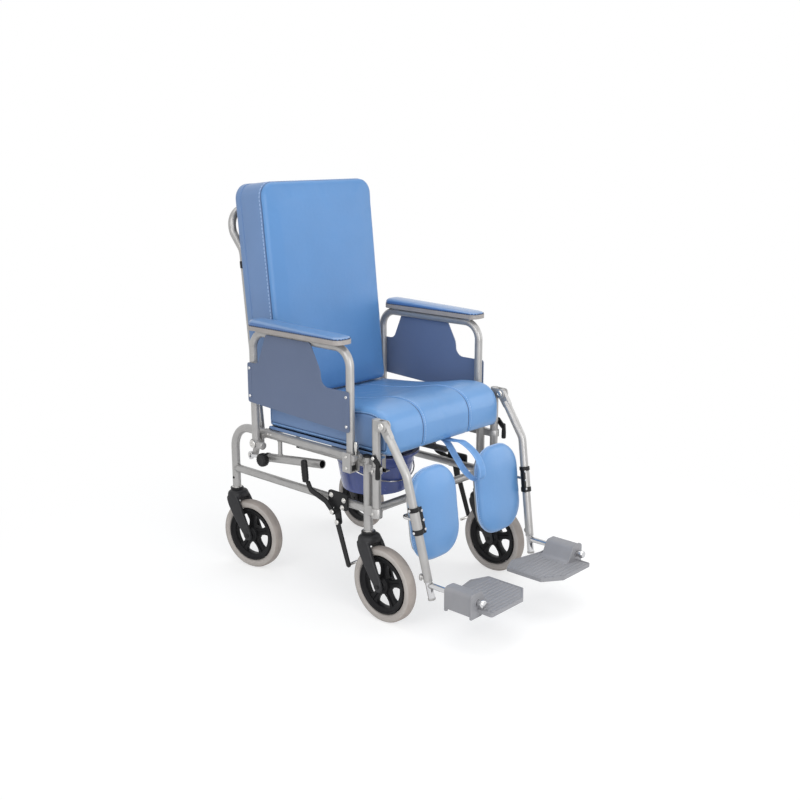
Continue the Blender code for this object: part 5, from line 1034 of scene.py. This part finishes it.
def leg_collars(f, s):
    x = s * LEG_X
    for low, high in ((0.279, 0.305), (0.395, 0.415)):
        ring = [(0.0114, low), (0.0133, low), (0.0145, low + 0.0015)]
        ring += [(0.0145, high - 0.0015), (0.0135, high), (0.0114, high)]
        f.upright(ring, x, LEG_Y, "silver", loop=True)
        f.block((s * 0.229, LEG_Y, low + 0.0004), (s * 0.241, 0, high - 0.0004), "silver")
        f.bolt((x + s * 0.0142, LEG_Y, (low + high) / 2), X * s, 0.004, washer=False)
    f.upright([(0.0135, 0.279), (0.0135, 0.2845), (0.006, 0.2845)], x, LEG_Y, "silver", 32)


def hinge_lugs(f, s):
    f.plate(oblong((0.429, 0.384), (0.461, RAIL_Z), (0.006, 0.002, 0.002, 0.006)), s, 0.2165, 0.222)
    f.pin(s, 0.1925, 0.222, BACK_HINGE, 0.005, sides=24)
    f.plate(oblong((0.392, 0.38), (0.42, RAIL_Z), (0.005, 0.002, 0.002, 0.005)), s, 0.239, 0.245)
    f.pin(s, 0.242, 0.2695, ARM_HINGE, 0.006, sides=24)
    head = [(0.011, 0.269), (0.011, 0.2716), (0.0095, 0.273), (0.0052, 0.2734), (0.0048, 0.2718)]
    f.lathe(head, (0, *ARM_HINGE), X * s, "zinc")
    for y in (0.362, 0.374):
        f.screw((s * 0.2415, y, RAIL_Z + 0.003), (s, 0, 0.2), 0.0034)


def arm_cradle(f, s):
    wall = [(0.2395, 0.3907), (0.2745, 0.3907), (0.2745, 0.4427), (0.2685, 0.4427), (0.2685, 0.3947), (0.2455, 0.3947)]
    wall += [(0.2455, 0.4427), (0.2395, 0.4427)]
    f.slab([(s * a, b) for a, b in wall], lambda a, b, h: (a, h, b), 0.02, 0.048, "silver")
    for z in (0.402, 0.432):
        f.screw((s * 0.2745, ARM_FRONT_Y, z), X * s, 0.0042)
    for inner, outer in ((0.2425, 0.2515), (0.2625, 0.2715)):
        f.plate(oblong((0.008, 0.422), (0.021, 0.438), (0.001, 0.001, 0.005, 0.005)), s, inner, outer)


def guide_point(s, distance):
    """A point on the recline rod's axis, this far ahead of its eye."""
    y, z = GUIDE_END
    return Vector((s * FRAME_X, y - distance * math.cos(GUIDE_TILT), z + distance * math.sin(GUIDE_TILT)))


def guide(f, s):
    rear, front = guide_point(s, 0.072), guide_point(s, 0.297)
    axis = front - rear
    end = axis.length
    wall = [(0.0064, 0), (MAIN_R, 0), (MAIN_R, end), (0.0098, end), (0.0098, end - 0.02), (0.0064, end - 0.02)]
    f.lathe(wall, rear, axis, "silver", loop=True)
    plug = [(0.0064, -0.003), (0.0125, -0.003), (0.0132, -0.001), (0.0132, 0.008), (0.0122, 0.0085), (0.0064, 0)]
    f.lathe(plug, rear, axis, "black", loop=True)
    bore = [(0.0097, end - 0.019), (0.0097, end - 0.0008), (0.0092, end - 0.0008), (0.009, end - 0.012)]
    f.lathe(bore + [(0.002, end - 0.012)], rear, axis, "black")
    hanger_y = 0.337
    at = guide_point(s, (GUIDE_END[0] - hanger_y) / math.cos(GUIDE_TILT))
    top = (s * FRAME_X, hanger_y, RAIL_Z)
    f.tube([at, top], 0.006)
    f.weld(at, axis, MAIN_R, Z, 0.006)
    f.weld(top, Y, MAIN_R, -Z, 0.006)


# Seat base, pail and strap

def commode():
    f = Form()
    wall = [(0.0885, 0.259), (0.093, 0.259), (0.0955, 0.2635), (0.112, 0.36), (0.124, 0.3606), (0.125, 0.3626)]
    wall += [(0.1246, 0.3672), (0.1236, 0.3686), (0.1118, 0.3682), (0.1085, 0.365), (0.0925, 0.2665), (0.0885, 0.262)]
    bead = [(0.1068, 0.334), (0.1092, 0.3362), (0.1076, 0.3384)]
    for profile, loop in (
        (wall, True),
        ([(0.09, 0.2566), (0.093, 0.2566), (0.093, 0.262), (0.001, 0.2624)], False),
        ([(0.001, 0.2586), (0.09, 0.2586), (0.09, 0.2622), (0.001, 0.2622)], False),
        (bead, True),
    ):
        f.upright(profile, 0, PAIL_Y, "pail", 96, loop)
    f.put("pail_bowl", "pail", "pail", slot="pail_plastic", bevel=0)
    keep("pail_bail", "chrome")
    keep("back_board", "board")
    seat_board()
    strap()


def seat_board():
    """The board under the cushion with its hole, and the hung runners of the pail."""
    f = Form()
    outline = oblong((-SEAT_HALF, -0.0178), (SEAT_HALF, 0.3918), 0.006, 6)
    outer = evened([Vector((*p, 0)) for p in outline], 0.008, True)
    inner = []
    for p in outer:
        turn = math.atan2(p.y - PAIL_Y, p.x)
        inner.append(Vector((0.09 * math.cos(turn), PAIL_Y + 0.1 * math.sin(turn), 0)))
    f.border(outer, inner, 0.4304, 0.4362, "board")
    front, rear, wide = 0.03, 0.378, 0.012
    for s in (-1, 1):
        for y in (front, rear - wide):
            f.plate([(y, 0.3586), (y + wide, 0.3586), (y + wide, 0.431), (y, 0.431)], s, 0.1312, 0.1348)
            f.screw((s * 0.1348, y + wide / 2, 0.424), X * s, 0.003)
        for ends, top, inside, outside in (((front, rear), 0.3706, 0.1312, 0.1348),
                                           ((front + 0.001, rear - 0.001), 0.3622, 0.1152, 0.134)):
            f.plate([(ends[0], 0.3584), (ends[1], 0.3584), (ends[1], top), (ends[0], top)], s, inside, outside)
    f.put("seat_board", "frame", "seat_base", slot="board_laminate", bevel=0.0006)


def strap():
    path = [(-0.034, 0.43505), (-0.058, 0.43505), (-0.082, 0.436), (-0.106, 0.437), (-0.14, 0.421), (-0.163, 0.399)]
    path += [(-0.1745, 0.373), (-0.172, 0.352), (-0.157, 0.343), (-0.134, 0.3475), (-0.11, 0.364), (-0.085, 0.391)]
    path += [(-0.062, 0.418), (-0.048, 0.43), (-0.034, 0.43225)]
    run = evened(spline([Vector((STRAP_X, *p)) for p in path], 8), 0.004)
    ups = [b if abs(b.x) < 0.5 else a for a, b in along(run, False)]
    section = oblong((-STRAP_HALF, -0.0009), (STRAP_HALF, 0.0009), 0.0008, 3)
    f = Form()
    f.rings([[point + X * w + up * h for w, h in section] for point, up in zip(run, ups)], "webbing")
    band = f.put("seat_pull_strap", "seat", "seat_strap", slot="blue_webbing", bevel=0)
    rows = Form()
    for w in (-0.01, 0.01):
        for face in (-1, 1):
            line = [p + X * w + up * face * 0.001 for p, up in zip(run, ups)]
            rows.stitches(line, pitch=0.006, length=0.0038, size=0.0004, closed=False)
    sewn = rows.put("seat_pull_strap_stitching", "seat", slot="blue_webbing", bevel=0)


# Backrest

def backrest():
    ring = [(0.0112, 0.469), (0.012, 0.4695), (0.0124, 0.471), (0.0124, 0.487), (0.012, 0.4885), (0.0112, 0.489)]
    corners = []
    for side, s in SIDES:
        x = s * BACK_X
        f = Form()
        f.tube([(x, 0, 0), (x, 0, 0.48)], TUBE_R)
        f.pin(s, 0.1935, 0.2155, (0, 0), 0.014, "silver", 40)
        f.weld((x, 0, 0), X, 0.014, Z, TUBE_R)
        pin = (LEAN.inverted() @ Vector((s * FRAME_X, *LEVER_PIN))).yz
        f.plate(capsule((0, 0), pin, 0.011, 0.011), s, 0.2105, 0.2155)
        f.pin(s, 0.213, 0.238, pin, 0.0035)
        f.bolt((s * 0.1935, 0, 0), X * -s, 0.0075)
        f.upright(ring, x, 0, "black", loop=True)
        for z in (0.2, 0.4, 0.6):
            f.screw((s * 0.175, -0.0033, z), Y, 0.0055)
        name = f"backrest_post_tube_{side}"
        f.moved(LEAN).put(name, "backrest", f"backrest_post_{side}", slot="silver_paint")
        leg = [(x, 0, 0.4803), (x, 0, 0.518), (x, 0.036, 0.57), (x, 0.036, 0.632)]
        corners += leg if s < 0 else leg[::-1]
    f = Form()
    f.tube(bent(corners, (0.04, 0.04, 0.046, 0.046, 0.04, 0.04), 14), TUBE_R)
    f.moved(LEAN).put("push_bar_tube", "backrest", "push_bar", slot="silver_paint")
    for side, s in SIDES:
        keep(f"recline_rod_{side}", "chrome")
        recline_knob(side, s)


def recline_knob(side, s):
    at = guide_point(s, 0.086)
    foot = 0.2423
    f = Form()
    rings = []
    for height, scale in ((0.007, 0.62), (0.008, 0.8), (0.009, 0.95), (0.011, 1.0), (0.021, 1.0), (0.024, 0.97),
                          (0.026, 0.88), (0.0268, 0.72), (0.0262, 0.58), (0.0255, 0.3)):
        ring = []
        for turn in turns(96):
            flute = 0.0006 * (1 - math.cos(16 * turn)) if scale > 0.85 else 0.0
            size = 0.019 * scale - flute
            ring.append((s * (foot + height), at.y + size * math.cos(turn), at.z + size * math.sin(turn)))
        rings.append(ring)
    f.rings(rings, "black")
    stem = [(0.0068, 0.0), (0.0068, 0.0026), (0.006, 0.0028), (0.006, 0.0075)]
    f.lathe(stem, (s * foot, *at.yz), X * s, "zinc", 32)
    f.put_side(side, "recline_knob_grip", "recline_knob", "recline_knob", "black_plastic", 0.0003)


# Armrests

def armrests():
    rear, foot = ARM_HINGE
    sleeve = [(0.0112, 0.3952), (0.0122, 0.396), (0.0122, 0.408), (0.0112, 0.409)]
    for side, s in SIDES:
        x = s * ARM_X
        f = Form()
        corners = [(x, rear, foot), (x, rear, ARM_TOP_Z), (x, ARM_FRONT_Y, ARM_TOP_Z), (x, ARM_FRONT_Y, 0.395)]
        f.tube(bent(corners, 0.048, 18), TUBE_R)
        f.pin(s, 0.246, 0.268, ARM_HINGE, 0.0125, "silver", 40)
        f.tube([(x, 0.424, 0.3925), (x, 0.405, 0.3915), (x, 0.374, 0.3895)], 0.0108, ends=0.003)
        f.weld((x, rear, foot), X, 0.0125, Z, TUBE_R)
        f.upright(sleeve, x, ARM_FRONT_Y, "black", 36, True)
        for y in (0.07, 0.344):
            f.block((x - 0.01, y - 0.009, 0.713), (x + 0.01, y + 0.009, 0.7183), "silver")
        f.put_side(side, "armrest_frame", "armrest", "armrest_tube", "silver_paint")
        panel(side, s)
        latch(side, s)


def panel(side, s):
    outline = rounded([
        (0.416, 0.513, 0.007), (0.416, 0.623, 0.007), (0.372, 0.623, 0.022), (0.336, 0.708, 0.007),
        (0.165, 0.708, 0.01), (0.128, 0.64, 0.05), (0.126, 0.6, 0.027), (0.025, 0.6, 0.007), (0.025, 0.494, 0.007),
    ], 10)
    f = Form()
    f.plate(outline, s, 0.2683, 0.2713, "panel")
    # The inner face takes a lighter copy of the panel paint, as painted light on its shaded side.
    f.skins[-2] = "panel_inside_lit"
    front_fold = oblong((0.0258, 0.4985), (0.043, 0.596), (0.001, 0.001, 0.004, 0.004))
    rear_fold = rounded([(0.4, 0.517, 0.001), (0.4152, 0.518, 0.004), (0.4152, 0.619, 0.004), (0.4, 0.619, 0.001)])
    for fold in (front_fold, rear_fold):
        f.plate(fold, s, 0.2712, 0.2719, "panel")
    for y, z in ((0.407, 0.608), (0.407, 0.531), (ARM_FRONT_Y, 0.586), (ARM_FRONT_Y, 0.51)):
        f.screw((s * 0.2717, y, z), X * s, 0.0044, "chrome")
    f.put_side(side, "side_panel_sheet", "armrest", "side_panel", "panel_plastic", 0.0011)


def latch(side, s):
    paddle = [(-0.002, -0.001), (0.002, -0.001), (0.0022, 0.014), (0.004, 0.024), (0.005, 0.033), (0.0035, 0.041)]
    paddle += [(-0.0005, 0.043), (-0.0048, 0.041), (-0.0062, 0.034), (-0.0048, 0.024), (-0.0024, 0.014)]
    f = Form()
    f.pin(s, 0.252, 0.262, LATCH, 0.004, sides=28)
    f.plate([(LATCH[0] + a, LATCH[1] + b) for a, b in paddle], s, 0.2523, 0.2617, "zinc")
    f.put_side(side, "armrest_latch_lever", "armrest_latch", "armrest_latch", "bright_steel", 0.0012)


# Legrests

def hanger_at(s, z):
    """The point at this height on the hanger's lower run."""
    knee, end = (Vector((s * x, y, up)) for x, y, up in (KNEE, SHIN_END))
    return knee + (end - knee) * (knee.z - z) / (knee.z - end.z)


def legrests():
    for side, s in SIDES:
        leg_post(side, s)
        hanger(side, s)
        release_lever(side, s)
        calf_bracket(side, s)
        footrest(side, s)


def leg_post(side, s):
    x = s * LEG_X
    inner, outer = 0.2293, 0.2507
    f = Form()
    f.tube([(x, LEG_Y, 0.2853), (x, LEG_Y, 0.536)], TUBE_R)
    f.upright([(0.0108, 0.535), (0.0116, 0.5362), (0.01, 0.5382), (0.004, 0.5392)], x, LEG_Y, "silver", 32)
    cheek = oblong((-0.079, 0.51), (LEG_Y, 0.537), (0.002, 0.004, 0.011, 0.009))
    for low in (inner, outer - 0.004):
        f.plate(cheek, s, low, low + 0.004)
    f.block((s * (inner + 0.0003), -0.0507, 0.5105), (s * (outer - 0.0003), -0.0402, 0.5362), "silver")
    f.pin(s, 0.227, 0.253, CLEVIS, 0.005, sides=24)
    head = [(0.0095, 0), (0.0095, 0.0022), (0.008, 0.0036), (0.0046, 0.0042), (0.0042, 0.0028)]
    for out, away in ((outer, s), (inner, -s)):
        f.lathe(head, (s * out, *CLEVIS), X * away, "zinc", 36)
    f.pin(s, 0.24, 0.258, RELEASE, 0.004)
    f.screw((s * 0.2572, *RELEASE), X * s, 0.0052)
    f.put_side(side, "legrest_post_tube", "legrest_post", "legrest_post", "silver_paint")


def hanger(side, s):
    pivot = Vector((s * LEG_X, *CLEVIS))
    knee, low = hanger_at(s, KNEE[2]), hanger_at(s, 0.1415)
    out = (knee - pivot).normalized()
    down = (low - knee).normalized()
    f = Form()
    f.tube(bent([pivot + out * 0.026, knee, low], 0.05), TUBE_R)
    f.plate(capsule(pivot.yz, (pivot + out * 0.034).yz, 0.0125, 0.0115), s, 0.2335, 0.2465)
    lip = [(0.0093, -0.01), (0.0109, -0.01), (0.0112, -0.0005), (0.0108, 0.0003), (0.0093, 0.0003)]
    f.lathe(lip, low, down, "silver", loop=True)
    knob = [(0.006, 0.009), (0.006, 0.013), (0.0086, 0.0136), (0.0092, 0.016), (0.0088, 0.0184), (0.0066, 0.0204)]
    f.lathe(knob + [(0.003, 0.0212)], low - down * 0.0105, (s * 0.55, 0.83, 0), "silver", 36)
    f.put_side(side, "legrest_hanger_tube", "legrest_hanger", "legrest_hanger", "silver_paint")


def release_lever(side, s):
    grip_y = -0.061
    f = Form()
    f.plate(capsule(RELEASE, (grip_y, 0.424), 0.008, 0.007), s, 0.252, 0.256, "black")
    grip, sizes = [], []
    for k in range(21):
        grip.append((s * 0.2585, grip_y, 0.432 - 0.044 * k / 20))
        sizes.append(0.0046 + 0.0018 * min(1.0, k / 12) + 0.0002 * math.cos(k * math.pi) * (3 < k < 17))
    f.tube(grip, sizes, "black", 28, ends=0.003)
    f.put_side(side, "legrest_release", "legrest_lever", "legrest_lever", "black_plastic", 0.0004)


def calf_bracket(side, s):
    """Two clips round the hanger, a channel beside them, and the rod that carries the calf plate."""
    reach_x, axis_y, axis_z = 0.098, *CALF_AXIS[1:]
    middle = hanger_at(s, axis_z)
    down = (hanger_at(s, SHIN_END[2]) - hanger_at(s, KNEE[2])).normalized()
    f = Form()
    for low, high, size, finish in (
        (-0.035, -0.024, 0.0142, "black"), (-0.024, 0.022, 0.0128, "silver"), (0.022, 0.035, 0.0142, "black"),
    ):
        ring = [(0.0113, low), (size - 0.001, low), (size, low + 0.001)]
        ring += [(size, high - 0.001), (size - 0.001, high), (0.0113, high)]
        f.lathe(ring, middle, down, finish, loop=True)
    inwards = X * -s
    ahead = down.cross(inwards).normalized()
    ahead = ahead if ahead.y < 0 else -ahead
    channel = [(0.0095, -0.004), (0.0095, 0.009), (0.012, 0.0105), (0.019, 0.0105), (0.019, 0.008), (0.0135, 0.0075)]
    channel.append((0.0135, -0.004))
    f.rings([[middle + down * end + inwards * a + ahead * b for a, b in channel] for end in (-0.034, 0.034)], "black")
    for reach in (-0.024, 0.0, 0.024):
        f.bolt(middle + down * reach + inwards * 0.0148 + ahead * 0.0105, ahead, 0.0038, "chrome", False)
    for reach in (-0.0295, 0.0285):
        f.bolt(middle + down * reach - inwards * 0.0138, -inwards, 0.004, "chrome", False)
    rod_x = 0.2275
    run = ((rod_x, middle.y + 0.0128), (rod_x, axis_y), (reach_x, axis_y))
    f.tube(bent([(s * x, y, axis_z) for x, y in run], 0.012, 10), 0.004, "chrome", 20)
    f.put_side(side, "calf_bracket_clamp", "legrest_hanger", "calf_bracket", "black_plastic")
    keep(f"calf_plate_{side}", "silver", 0.0006)


def footrest(side, s):
    low, axle, top = hanger_at(s, 0.095), hanger_at(s, FOOT_AXLE_Z), hanger_at(s, 0.24)
    tip = Vector((axle.x, -0.366, axle.z))
    f = Form()
    f.tube([top, low], 0.009, "chrome", ends=0.001)
    f.tube([axle, tip], 0.0075, "chrome", ends=0.001)
    f.weld(axle, axle - low, 0.009, -Y, 0.0075, 0.0014)
    cap = [(0.0076, -0.015), (0.008, -0.015), (0.008, -0.007), (0.0094, -0.0066), (0.0098, -0.005), (0.0098, 0.0008)]
    f.lathe(cap + [(0.0086, 0.003), (0.003, 0.0036)], tip, -Y, "chrome", 36)
    foot = [(0.0093, -0.004), (0.0098, -0.004), (0.0098, 0.001), (0.008, 0.002), (0.003, 0.0024)]
    f.lathe(foot, low, low - top, "silver", 32)
    f.put_side(side, "footrest_rods", "footrest", "footrest_tube", "bright_steel")
    footplate(side, s, abs(axle.x))


def footplate(side, s, x):
    """The ribbed plate with its rim, and the case round the axle at this x."""
    corners = [(0.038, -0.245), (0.088, -0.224), (x - 0.0225, -0.245), (x, -0.245), (x, -0.391), (0.088, -0.391)]
    outline = rounded([(s * a, b, 0.006) for a, b in corners + [(0.038, -0.355)]])
    f = Form()
    f.slab(outline, flat, 0.106, PLATE_TOP, "footplate")
    middle = Vector((s * 0.125, -0.312))
    inner = [Vector(p) + (middle - Vector(p)).normalized() * 0.005 for p in outline]
    f.border(outline, inner, PLATE_TOP - 0.0002, PLATE_TOP + 0.0012, "footplate")
    for n in range(11):
        b = -0.256 - 0.0125 * n
        start = 0.0435 + max(0.0, -0.348 - b) * 1.4
        rib = [(b - 0.0042, -0.0002), (b - 0.0032, 0.0012), (b + 0.0032, 0.0012), (b + 0.0042, -0.0002)]
        f.plate([(v, PLATE_TOP + h) for v, h in rib], s, start, x - 0.01, "footplate")
    axle_case(f, s, x)
    f.put_side(side, "footplate_tread", "footplate", "footplate", "footplate_plastic", 0.0008)


def axle_case(f, s, x):
    """The case round the axle, running down into the plate, with its end flange and its bushes."""
    half = 0.0225
    inner, outer = x - half, x + half

    def section(grow, skirt):
        foot, top = 0.0985 - skirt, 0.1548 + grow
        run = [(outer + grow, foot, 0.003), (outer + grow, top, 0.012), (inner + 0.006, top, 0.016)]
        run += [(inner - 0.016, 0.1166, 0.016), (inner - 0.034, 0.1158, 0.004), (inner - 0.034, 0.1068, 0.001)]
        run += [(inner + 0.004, 0.1068, 0.003), (inner + 0.004, foot, 0.003)]
        return rounded([(s * a, h, r) for a, h, r in run])

    for grow, skirt, rear, front in ((0.0, 0.0, -0.261, -0.344), (0.0018, 0.006, -0.342, -0.347)):
        f.slab(section(grow, skirt), lambda a, h, b: (a, b, h), rear, front, "footplate")
    f.block((s * (outer - 0.006), -0.269, 0.0925), (s * outer, -0.2612, 0.1), "footplate")
    for rear, front, wide, narrow in ((-0.259, -0.264, 0.0115, 0.0115), (-0.345, -0.349, 0.0112, 0.0108)):
        bush = [(0.0079, rear), (wide, rear), (narrow, front), (0.0079, front)]
        f.lathe(bush, (s * x, 0, FOOT_AXLE_Z), Y, "footplate", 36, True)


# Brakes

def brakes():
    for side, s in SIDES:
        brake_bracket(side, s)
        f = Form()
        f.plate(capsule(BAR_PIVOT, BAR_END, 0.008, 0.007), s, 0.248, 0.253, "black")
        f.pin(s, 0.213, 0.2527, BAR_END, 0.004, ends=0.001)
        f.put_side(side, "brake_bar_arm", "brake_bar", "brake_bar", "black_plastic", 0.0008)
        brake_lever(side, s)


def brake_bracket(side, s):
    f = Form()
    f.plate(oblong((0.06, 0.272), (0.13, 0.318), 0.006), s, 0.2413, 0.2473, "black")
    f.plate(capsule((0.104, 0.295), BAR_PIVOT, 0.011, 0.009), s, 0.2414, 0.2472, "black")
    for y, z in ((0.072, 0.3), (0.118, 0.306), (0.078, 0.279)):
        f.bolt((s * 0.2473, y, z), X * s, 0.0052)
    head = [(0.0072, 0.0), (0.0072, 0.0016), (0.006, 0.0032), (0.003, 0.0038)]
    for at, end in ((BAR_PIVOT, 0.253), (BRAKE_PIVOT, 0.2597)):
        f.pin(s, 0.242, end, at, 0.004)
        f.lathe(head, (s * end, *at), X * s, "zinc", 28)
    f.put(f"brake_bracket_plate_{side}", "frame", f"brake_bracket_{side}", slot="black_plastic", bevel=0.0008)


def brake_lever(side, s):
    neck, top, grip_x = (0.199, 0.326), (0.205, 0.387), s * 0.2632
    run = bent([(0, *BRAKE_PIVOT), (0, 0.13, 0.288), (0, 0.187, 0.305), (0, *neck)], 0.014, 6)
    left, right = [], []
    for k, point in enumerate(run):
        ahead = heading(run, k).normalized()
        across = Vector((0, -ahead.z, ahead.y)) * 0.007
        left.append((point + across).yz)
        right.append((point - across).yz)
    f = Form()
    f.plate(left + right[::-1], s, 0.2537, 0.2587, "black")
    f.lathe([(0.0086, 0.0), (0.0086, 0.005)], (s * 0.2537, *BRAKE_PIVOT), X * s, "black", 32)
    start, end = Vector((grip_x, *neck)), Vector((grip_x, *top))
    grip = [start + (end - start) * k / 30 for k in range(31)]
    sizes = [0.0092 + 0.0003 * math.sin(k * 1.5) - 0.0012 * (abs(k - 15) / 15) ** 3 for k in range(31)]
    f.tube(grip, sizes, "black", 36, ends=0.005)
    f.put_side(side, "brake_lever_arm", "brake_lever", "brake_lever", "black_plastic", 0.0006)


# Stage

def seen_directly(tree):
    """One where the camera sees a surface itself, or in a gloss or through something clear."""
    path = tree.nodes.new("ShaderNodeLightPath")
    seen = path.outputs["Is Camera Ray"]
    for label in ("Is Glossy Ray", "Is Transmission Ray"):
        both = tree.nodes.new("ShaderNodeMath")
        both.operation = "MAXIMUM"
        tree.links.new(seen, both.inputs[0])
        tree.links.new(path.outputs[label], both.inputs[1])
        seen = both.outputs[0]
    return seen


def mixed_shader(tree, share, first, second):
    mix = tree.nodes.new("ShaderNodeMixShader")
    for source, socket in zip((share, first, second), mix.inputs):
        tree.links.new(source, socket)
    return mix.outputs[0]


def floor():
    """A pale ground that catches the shadow, and fades to white where it is looked at."""
    size, fade_start, fade_end = 14.0, 0.75, 1.45
    mesh = bpy.data.meshes.new("floor")
    mesh.from_pydata([(-size, -size, 0), (size, -size, 0), (size, size, 0), (-size, size, 0)], [], [(0, 1, 2, 3)])
    obj = placed("floor", mesh)
    mat = bpy.data.materials.new("floor")
    mat.use_nodes = True
    mesh.materials.append(mat)
    tree = mat.node_tree
    ground = tree.nodes["Principled BSDF"]
    looked_at = tree.nodes.new("ShaderNodeBsdfPrincipled")
    for shader, base, glow in ((ground, 0.86, 0.0), (looked_at, 0.46, 0.6)):
        shader.inputs["Base Color"].default_value = (base, base, base, 1.0)
        shader.inputs["Roughness"].default_value = 0.9
        shader.inputs["Specular IOR Level"].default_value = 0.0
        shader.inputs["Emission Color"].default_value = (1.0, 1.0, 1.0, 1.0)
        shader.inputs["Emission Strength"].default_value = glow
    white = tree.nodes.new("ShaderNodeEmission")
    far = tree.nodes.new("ShaderNodeVectorMath")
    far.operation = "LENGTH"
    tree.links.new(tree.nodes.new("ShaderNodeTexCoord").outputs["Object"], far.inputs[0])
    fade = tree.nodes.new("ShaderNodeMapRange")
    fade.interpolation_type = "SMOOTHSTEP"
    fade.inputs["From Min"].default_value = fade_start
    fade.inputs["From Max"].default_value = fade_end
    tree.links.new(far.outputs["Value"], fade.inputs["Value"])
    shown = mixed_shader(tree, fade.outputs["Result"], looked_at.outputs[0], white.outputs[0])
    whole = mixed_shader(tree, seen_directly(tree), ground.outputs[0], shown)
    tree.links.new(whole, tree.nodes["Material Output"].inputs["Surface"])


def surroundings():
    """Soft light from all round, behind a white background."""
    world = bpy.data.worlds.new("world")
    SCENE.world = world
    world.use_nodes = True
    tree = world.node_tree
    tree.nodes.clear()
    shaders = []
    for colour, strength in (((0.96, 0.98, 1.0, 1.0), 0.52), ((1.0, 1.0, 1.0, 1.0), 1.0)):
        shader = tree.nodes.new("ShaderNodeBackground")
        shader.inputs["Color"].default_value = colour
        shader.inputs["Strength"].default_value = strength
        shaders.append(shader.outputs[0])
    out = tree.nodes.new("ShaderNodeOutputWorld")
    tree.links.new(mixed_shader(tree, seen_directly(tree), *shaders), out.inputs["Surface"])


def lamps():
    target = Vector((0, 0, 0.45))
    for name, at, size, power in (
        ("key", (-0.9, -2.4, 1.15), 1.8, 30.0),
        ("top", (0.3, 0.2, 3.2), 2.8, 32.0),
        ("side", (-2.7, -0.6, 2.0), 2.0, 27.0),
        ("fill", (2.5, -1.8, 1.3), 2.0, 18.0),
    ):
        lamp = bpy.data.lights.new(name, "AREA")
        lamp.shape = "SQUARE"
        lamp.size = size
        lamp.energy = power
        turn = (target - Vector(at)).to_track_quat("-Z", "Y").to_matrix().to_4x4()
        placed(name, lamp).matrix_world = Matrix.Translation(at) @ turn


set_camera()
set_skins()
back_cushion()
seat_cushion()
calf_pads()
arm_pads()
wheels()
frames()
commode()
backrest()
armrests()
legrests()
brakes()
floor()
surroundings()
lamps()
SCENE.view_settings.view_transform = "Standard"
